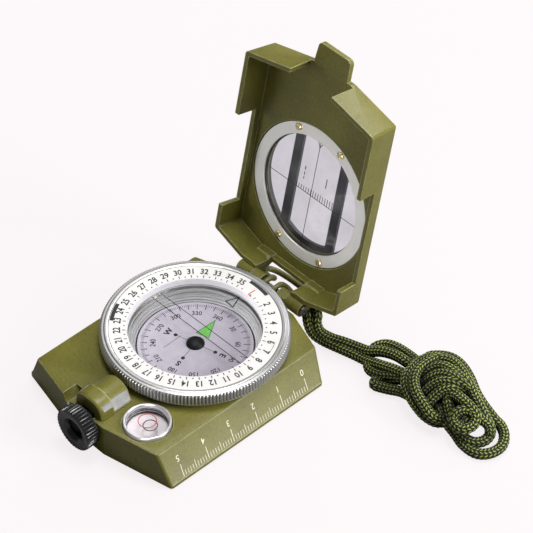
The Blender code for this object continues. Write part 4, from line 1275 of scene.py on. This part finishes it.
# centre lines of the cords: x, y, z
CORD_PATHS = {
    "standing_1": [
        (11.2, 38.4, 8.9), (13.2, 37.2, 9.2), (15.4, 35.9, 8.9), (16.3, 34.7, 7.5),
        (17.8, 34.8, 4.6), (20.9, 36.4, 2.9), (24.9, 38.2, 2.7), (29.2, 39.6, 2.8),
        (33.3, 40.4, 3.6), (37.3, 41.9, 5.4), (41.8, 43.0, 6.4), (46.5, 43.2, 6.8),
        (50.0, 44.1, 6.0)],
    "standing_2": [
        (10.0, 37.2, 7.7), (11.5, 35.5, 8.3), (13.0, 34.1, 8.6), (14.7, 33.1, 6.5),
        (16.5, 33.4, 3.6), (19.5, 34.7, 1.9), (24.5, 36.1, 1.7), (29.4, 37.4, 1.7),
        (34.2, 38.3, 1.9), (39.6, 38.5, 3.8), (45.0, 39.2, 5.4), (50.0, 39.8, 6.2),
        (53.5, 40.6, 5.5)],
    "bight_1": [
        (47.6, 46.6, 5.5), (43.0, 47.3, 4.6), (38.4, 47.5, 3.8), (34.6, 46.7, 3.0),
        (32.6, 44.4, 2.2), (32.9, 41.5, 1.7), (34.9, 38.5, 1.7), (37.9, 36.5, 1.7),
        (42.0, 36.5, 2.6), (45.2, 37.9, 3.6), (48.7, 39.3, 4.6), (52.3, 40.0, 5.0)],
    "bight_2": [
        (50.1, 41.7, 4.6), (48.4, 39.0, 4.0), (44.6, 37.3, 2.0), (42.6, 35.3, 1.7),
        (42.4, 33.8, 1.7), (43.7, 33.2, 1.7), (47.2, 34.7, 1.9), (50.7, 36.1, 2.6),
        (54.2, 36.3, 3.4), (58.0, 36.1, 4.0)],
    "collar_1": [
        (54.6, 47.7, 5.0), (51.7, 48.5, 8.6), (50.6, 44.0, 9.4), (51.4, 39.3, 9.2),
        (52.9, 36.2, 8.2), (56.1, 34.5, 6.8), (60.4, 33.6, 5.2), (64.0, 33.7, 3.8),
        (66.9, 35.2, 2.6), (68.3, 38.2, 2.2), (67.8, 41.7, 3.0)],
    "collar_2": [
        (57.5, 47.7, 6.0), (54.5, 49.2, 10.2), (53.7, 44.5, 11.2), (53.9, 39.9, 10.8),
        (55.7, 36.7, 10.0), (59.1, 34.7, 9.0), (62.7, 33.9, 7.6), (65.8, 33.7, 6.0),
        (67.8, 35.3, 4.6), (68.4, 38.5, 4.0)],
    "outer_loop": [
        (53.1, 44.7, 6.0), (49.8, 48.5, 7.2), (51.8, 50.9, 8.2), (55.8, 52.4, 9.2),
        (60.6, 52.1, 9.6), (65.8, 50.3, 9.2), (70.1, 48.2, 8.4), (73.6, 47.2, 7.4),
        (76.8, 46.8, 6.2), (79.3, 46.8, 5.0), (81.6, 47.4, 3.2), (84.4, 45.9, 2.2),
        (86.3, 42.4, 1.7), (85.7, 38.1, 1.7), (82.8, 35.3, 1.7), (78.0, 35.1, 1.7),
        (74.0, 36.1, 2.2), (70.2, 36.5, 3.4), (67.0, 37.2, 4.8), (64.1, 38.5, 6.0),
        (61.1, 42.8, 6.0)],
    "inner_loop": [
        (57.3, 44.7, 8.0), (55.6, 48.2, 10.8), (59.0, 49.6, 11.8), (63.2, 48.9, 12.0),
        (67.7, 47.3, 11.6), (71.9, 45.6, 10.4), (75.2, 44.5, 9.2), (77.8, 43.8, 7.8),
        (80.0, 43.7, 5.8), (81.8, 42.5, 4.0), (82.1, 39.8, 3.2), (80.5, 37.2, 3.0),
        (77.4, 36.2, 3.2), (74.4, 36.5, 4.2), (71.5, 37.1, 5.6), (69.0, 38.3, 7.2),
        (66.7, 39.9, 8.6), (64.5, 42.8, 8.6)],
    "wrap": [
        (55.3, 40.8, 8.0), (55.9, 42.9, 10.6), (58.0, 45.0, 12.6), (61.3, 45.8, 13.4),
        (65.2, 45.9, 13.2), (68.6, 45.9, 12.0), (69.1, 46.4, 7.0), (64.9, 44.7, 2.4),
        (57.7, 42.8, 2.0), (56.6, 39.9, 6.5), (58.1, 41.2, 10.2), (60.3, 43.2, 12.4),
        (63.5, 44.2, 13.4), (66.9, 44.8, 12.9), (68.9, 45.9, 11.0), (68.4, 45.3, 6.0),
        (64.6, 41.9, 3.0), (58.9, 39.6, 4.0), (59.6, 37.4, 7.4), (60.6, 39.3, 10.0),
        (62.4, 41.5, 12.0), (65.2, 43.1, 12.8), (67.7, 44.7, 11.6), (69.2, 45.5, 9.0),
        (67.4, 43.8, 5.0), (63.7, 37.8, 4.0), (62.8, 36.0, 6.8), (63.4, 38.1, 9.4),
        (64.5, 40.5, 11.2), (66.4, 42.6, 11.6), (68.0, 44.4, 10.0)],
    "lobe": [
        (62.6, 41.2, 7.0), (65.3, 40.8, 9.4), (67.9, 41.7, 10.4), (71.3, 41.6, 10.6),
        (74.5, 41.4, 10.2), (77.1, 41.0, 9.0), (78.0, 38.9, 7.4), (77.0, 36.2, 6.8),
        (74.7, 35.4, 7.0), (72.6, 36.1, 7.8), (72.5, 38.0, 9.0), (73.8, 40.0, 9.6),
        (76.0, 41.1, 9.0), (78.4, 42.2, 7.6), (80.9, 42.8, 6.2), (83.0, 41.3, 4.6)],
    "lobe_core": [
        (77.0, 41.6, 4.6), (75.4, 39.8, 6.6), (74.9, 38.4, 6.9), (75.0, 36.9, 6.0)],
    "knot_core": [
        (52.0, 41.5, 4.4), (56.0, 41.8, 6.2), (60.5, 42.2, 7.2), (65.0, 42.2, 7.0),
        (69.0, 41.6, 5.2)],
}
CORE_RADII = {"knot_core": 2.9, "lobe_core": 1.9}
for number, (name, points) in enumerate(CORD_PATHS.items()):
    braid("cord_" + name, points, phase=0.37 * number, radius=CORE_RADII.get(name, CORD_R),
          body="cord", replaced="lanyard")

# two turns of cord round the wire
HITCH_RISE = 2.85   # along the wire, per turn
centre = Vector(hung(8.8, 10.2))
wire_dir = (Vector(hung(7.4, 11.0)) - Vector(hung(9.6, 6.9))).normalized()
across = wire_dir.orthogonal().normalized()
upward = wire_dir.cross(across)
hitch = []
for k in range(25):
    a = 2 * pi * k / 12
    hitch.append(tuple(centre + (across * cos(a) + upward * sin(a)) * (WIRE_R + 0.9 * CORD_R + 0.03)
                       + wire_dir * (k / 12 - 1) * HITCH_RISE))
braid("cord_hitch", hitch, phase=0.2, radius=CORD_R * 0.9, body="loop", replaced="lanyard_hitch")

# ==================================================================== stage
FLOOR_GLOW = 0.86   # share of plain glow in the floor as the camera sees it
bpy.ops.mesh.primitive_plane_add(size=6, location=(0, 0, 0))
floor = bpy.context.object
floor.name = "floor"
mat = Mat("floor")
tone = mat.ramp(mat.noise(scale=6, detail=2), ((0.60, 0.585, 0.59), (0.62, 0.605, 0.61)))
seen = mat.node("LightPath").outputs["Is Camera Ray"]
mat.set(Base_Color=mat.mix(seen, (0.33, 0.322, 0.325), tone), Roughness=0.9,
        Specular_IOR_Level=0.05)
glow = mat.node("Emission", Color=(1.0, 0.955, 0.966), Strength=1.0)
mat.surface(mat.mix_shader(mat.math("MULTIPLY", seen, FLOOR_GLOW), mat.bsdf.outputs[0],
                           glow.outputs[0]))
floor.data.materials.append(mat.material)
floor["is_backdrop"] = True

# the world is dim as light, pale as a backdrop
WORLD_LIGHT = 0.125
WORLD_BACKDROP = 0.86   # added where the camera sees it
world = bpy.data.worlds.new("studio")
scene.world = world
world.use_nodes = True
nodes, links = world.node_tree.nodes, world.node_tree.links
sky = nodes["Background"]
sky.inputs["Color"].default_value = (1.0, 0.965, 0.972, 1)
path = nodes.new("ShaderNodeLightPath")
lift = nodes.new("ShaderNodeMath")
lift.operation = "MULTIPLY_ADD"
lift.inputs[1].default_value = WORLD_BACKDROP
lift.inputs[2].default_value = WORLD_LIGHT
links.new(path.outputs["Is Camera Ray"], lift.inputs[0])
links.new(lift.outputs[0], sky.inputs["Strength"])


def lit_group(name, belongs):
    """Collection of the meshes for which belongs(object name, first material) holds."""
    group = bpy.data.collections.new(name)
    for obj in list(scene.objects):
        if obj.type == "MESH":
            mats = obj.data.materials
            if belongs(obj.name, mats[0] if mats else None):
                group.objects.link(obj)
    return group


def softbox(name, place, aim, size, power, lit):
    """Rectangular lamp that lights only the collection `lit`."""
    light = bpy.data.lights.new(name, "AREA")
    light.shape = "RECTANGLE"
    light.size, light.size_y = size
    light.energy = power
    obj = bpy.data.objects.new(name, light)
    scene.collection.objects.link(obj)
    obj.location = place
    obj.rotation_euler = (Vector(aim) - Vector(place)).to_track_quat("-Z", "Y").to_euler()
    obj.light_linking.receiver_collection = lit


SEE_THROUGH = (CLEAR, COVER_GLASS, LENS_GLASS, PRISM_GLASS, LEVEL_GLASS, BUBBLE)
BOWL_MATERIALS = (CHAMBER_METAL, DIAL_WHITE, SKIRT_PAINTED_LIGHT)
SHINY = (BEZEL_METAL, CHAMBER_METAL, RING_METAL, BRASS, STEEL, LEVEL_METAL, BLACK)
COVER_WORDS = ("cover", "retaining", "ring_screw")
solids = lit_group("solids", lambda name, mat: mat not in SEE_THROUGH)
covers = lit_group("covers", lambda name, mat: any(word in name for word in COVER_WORDS))
bowls = lit_group("bowls", lambda name, mat: mat in BOWL_MATERIALS)
metals = lit_group("metals", lambda name, mat: mat in SHINY)

# name, place, aim, size, power in watts, what it lights
for lamp in (
        ("key", (0.85, 0.42, 0.50), (0, 0, 0.02), (0.45, 0.45), 11.6, solids),
        ("sheen", (-0.20, 0.80, 0.62), (0, 0, 0.03), (0.45, 0.35), 3.9, solids),
        ("top", (-0.05, 0.15, 1.0), (0, 0, 0.01), (0.35, 0.35), 7.4, solids),
        ("shine", (-0.62, 0.55, 0.80), (0, 0, 0.02), (1.1, 0.95), 2.8, metals),
        ("bowl_fill", (-0.45, -0.60, 0.50), (0, 0, 0.015), (0.5, 0.4), 11.0, bowls),
        ("shine_low", (0.55, -0.75, 0.22), (0, 0, 0.02), (0.5, 0.22), 5.6, metals),
        ("cover_fill", (-0.62, -0.72, 0.30), (0, 0.04, 0.05), (0.5, 0.4), 3.1, covers)):
    softbox(*lamp)

scene.view_settings.view_transform = "Standard"
scene.view_settings.look = "None"

# camera, placed by the point it looks at, its distance and its angles
CAMERA_TARGET = Vector((-0.005141, 0.034167, 0.016104))
CAMERA_DISTANCE = 0.942127
AZIMUTH, ELEVATION, ROLL = radians(-43.735942), radians(44.545973), radians(0.3729)
camera = bpy.data.cameras.new("camera")
camera.lens, camera.sensor_width = 209.02, 36.0
camera.clip_start, camera.clip_end = 0.01, 20
cam = bpy.data.objects.new("camera", camera)
scene.collection.objects.link(cam)
back = Vector((cos(ELEVATION) * cos(AZIMUTH), cos(ELEVATION) * sin(AZIMUTH), sin(ELEVATION)))
right = (-back).cross(Vector((0, 0, 1))).normalized()
upward = right.cross(-back)
rolled_right = right * cos(ROLL) + upward * sin(ROLL)
rolled_up = -right * sin(ROLL) + upward * cos(ROLL)
cam.matrix_world = (Matrix.Translation(CAMERA_TARGET + back * CAMERA_DISTANCE)
                    @ Matrix((rolled_right, rolled_up, back)).transposed().to_4x4())
scene.camera = cam

low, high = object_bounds()
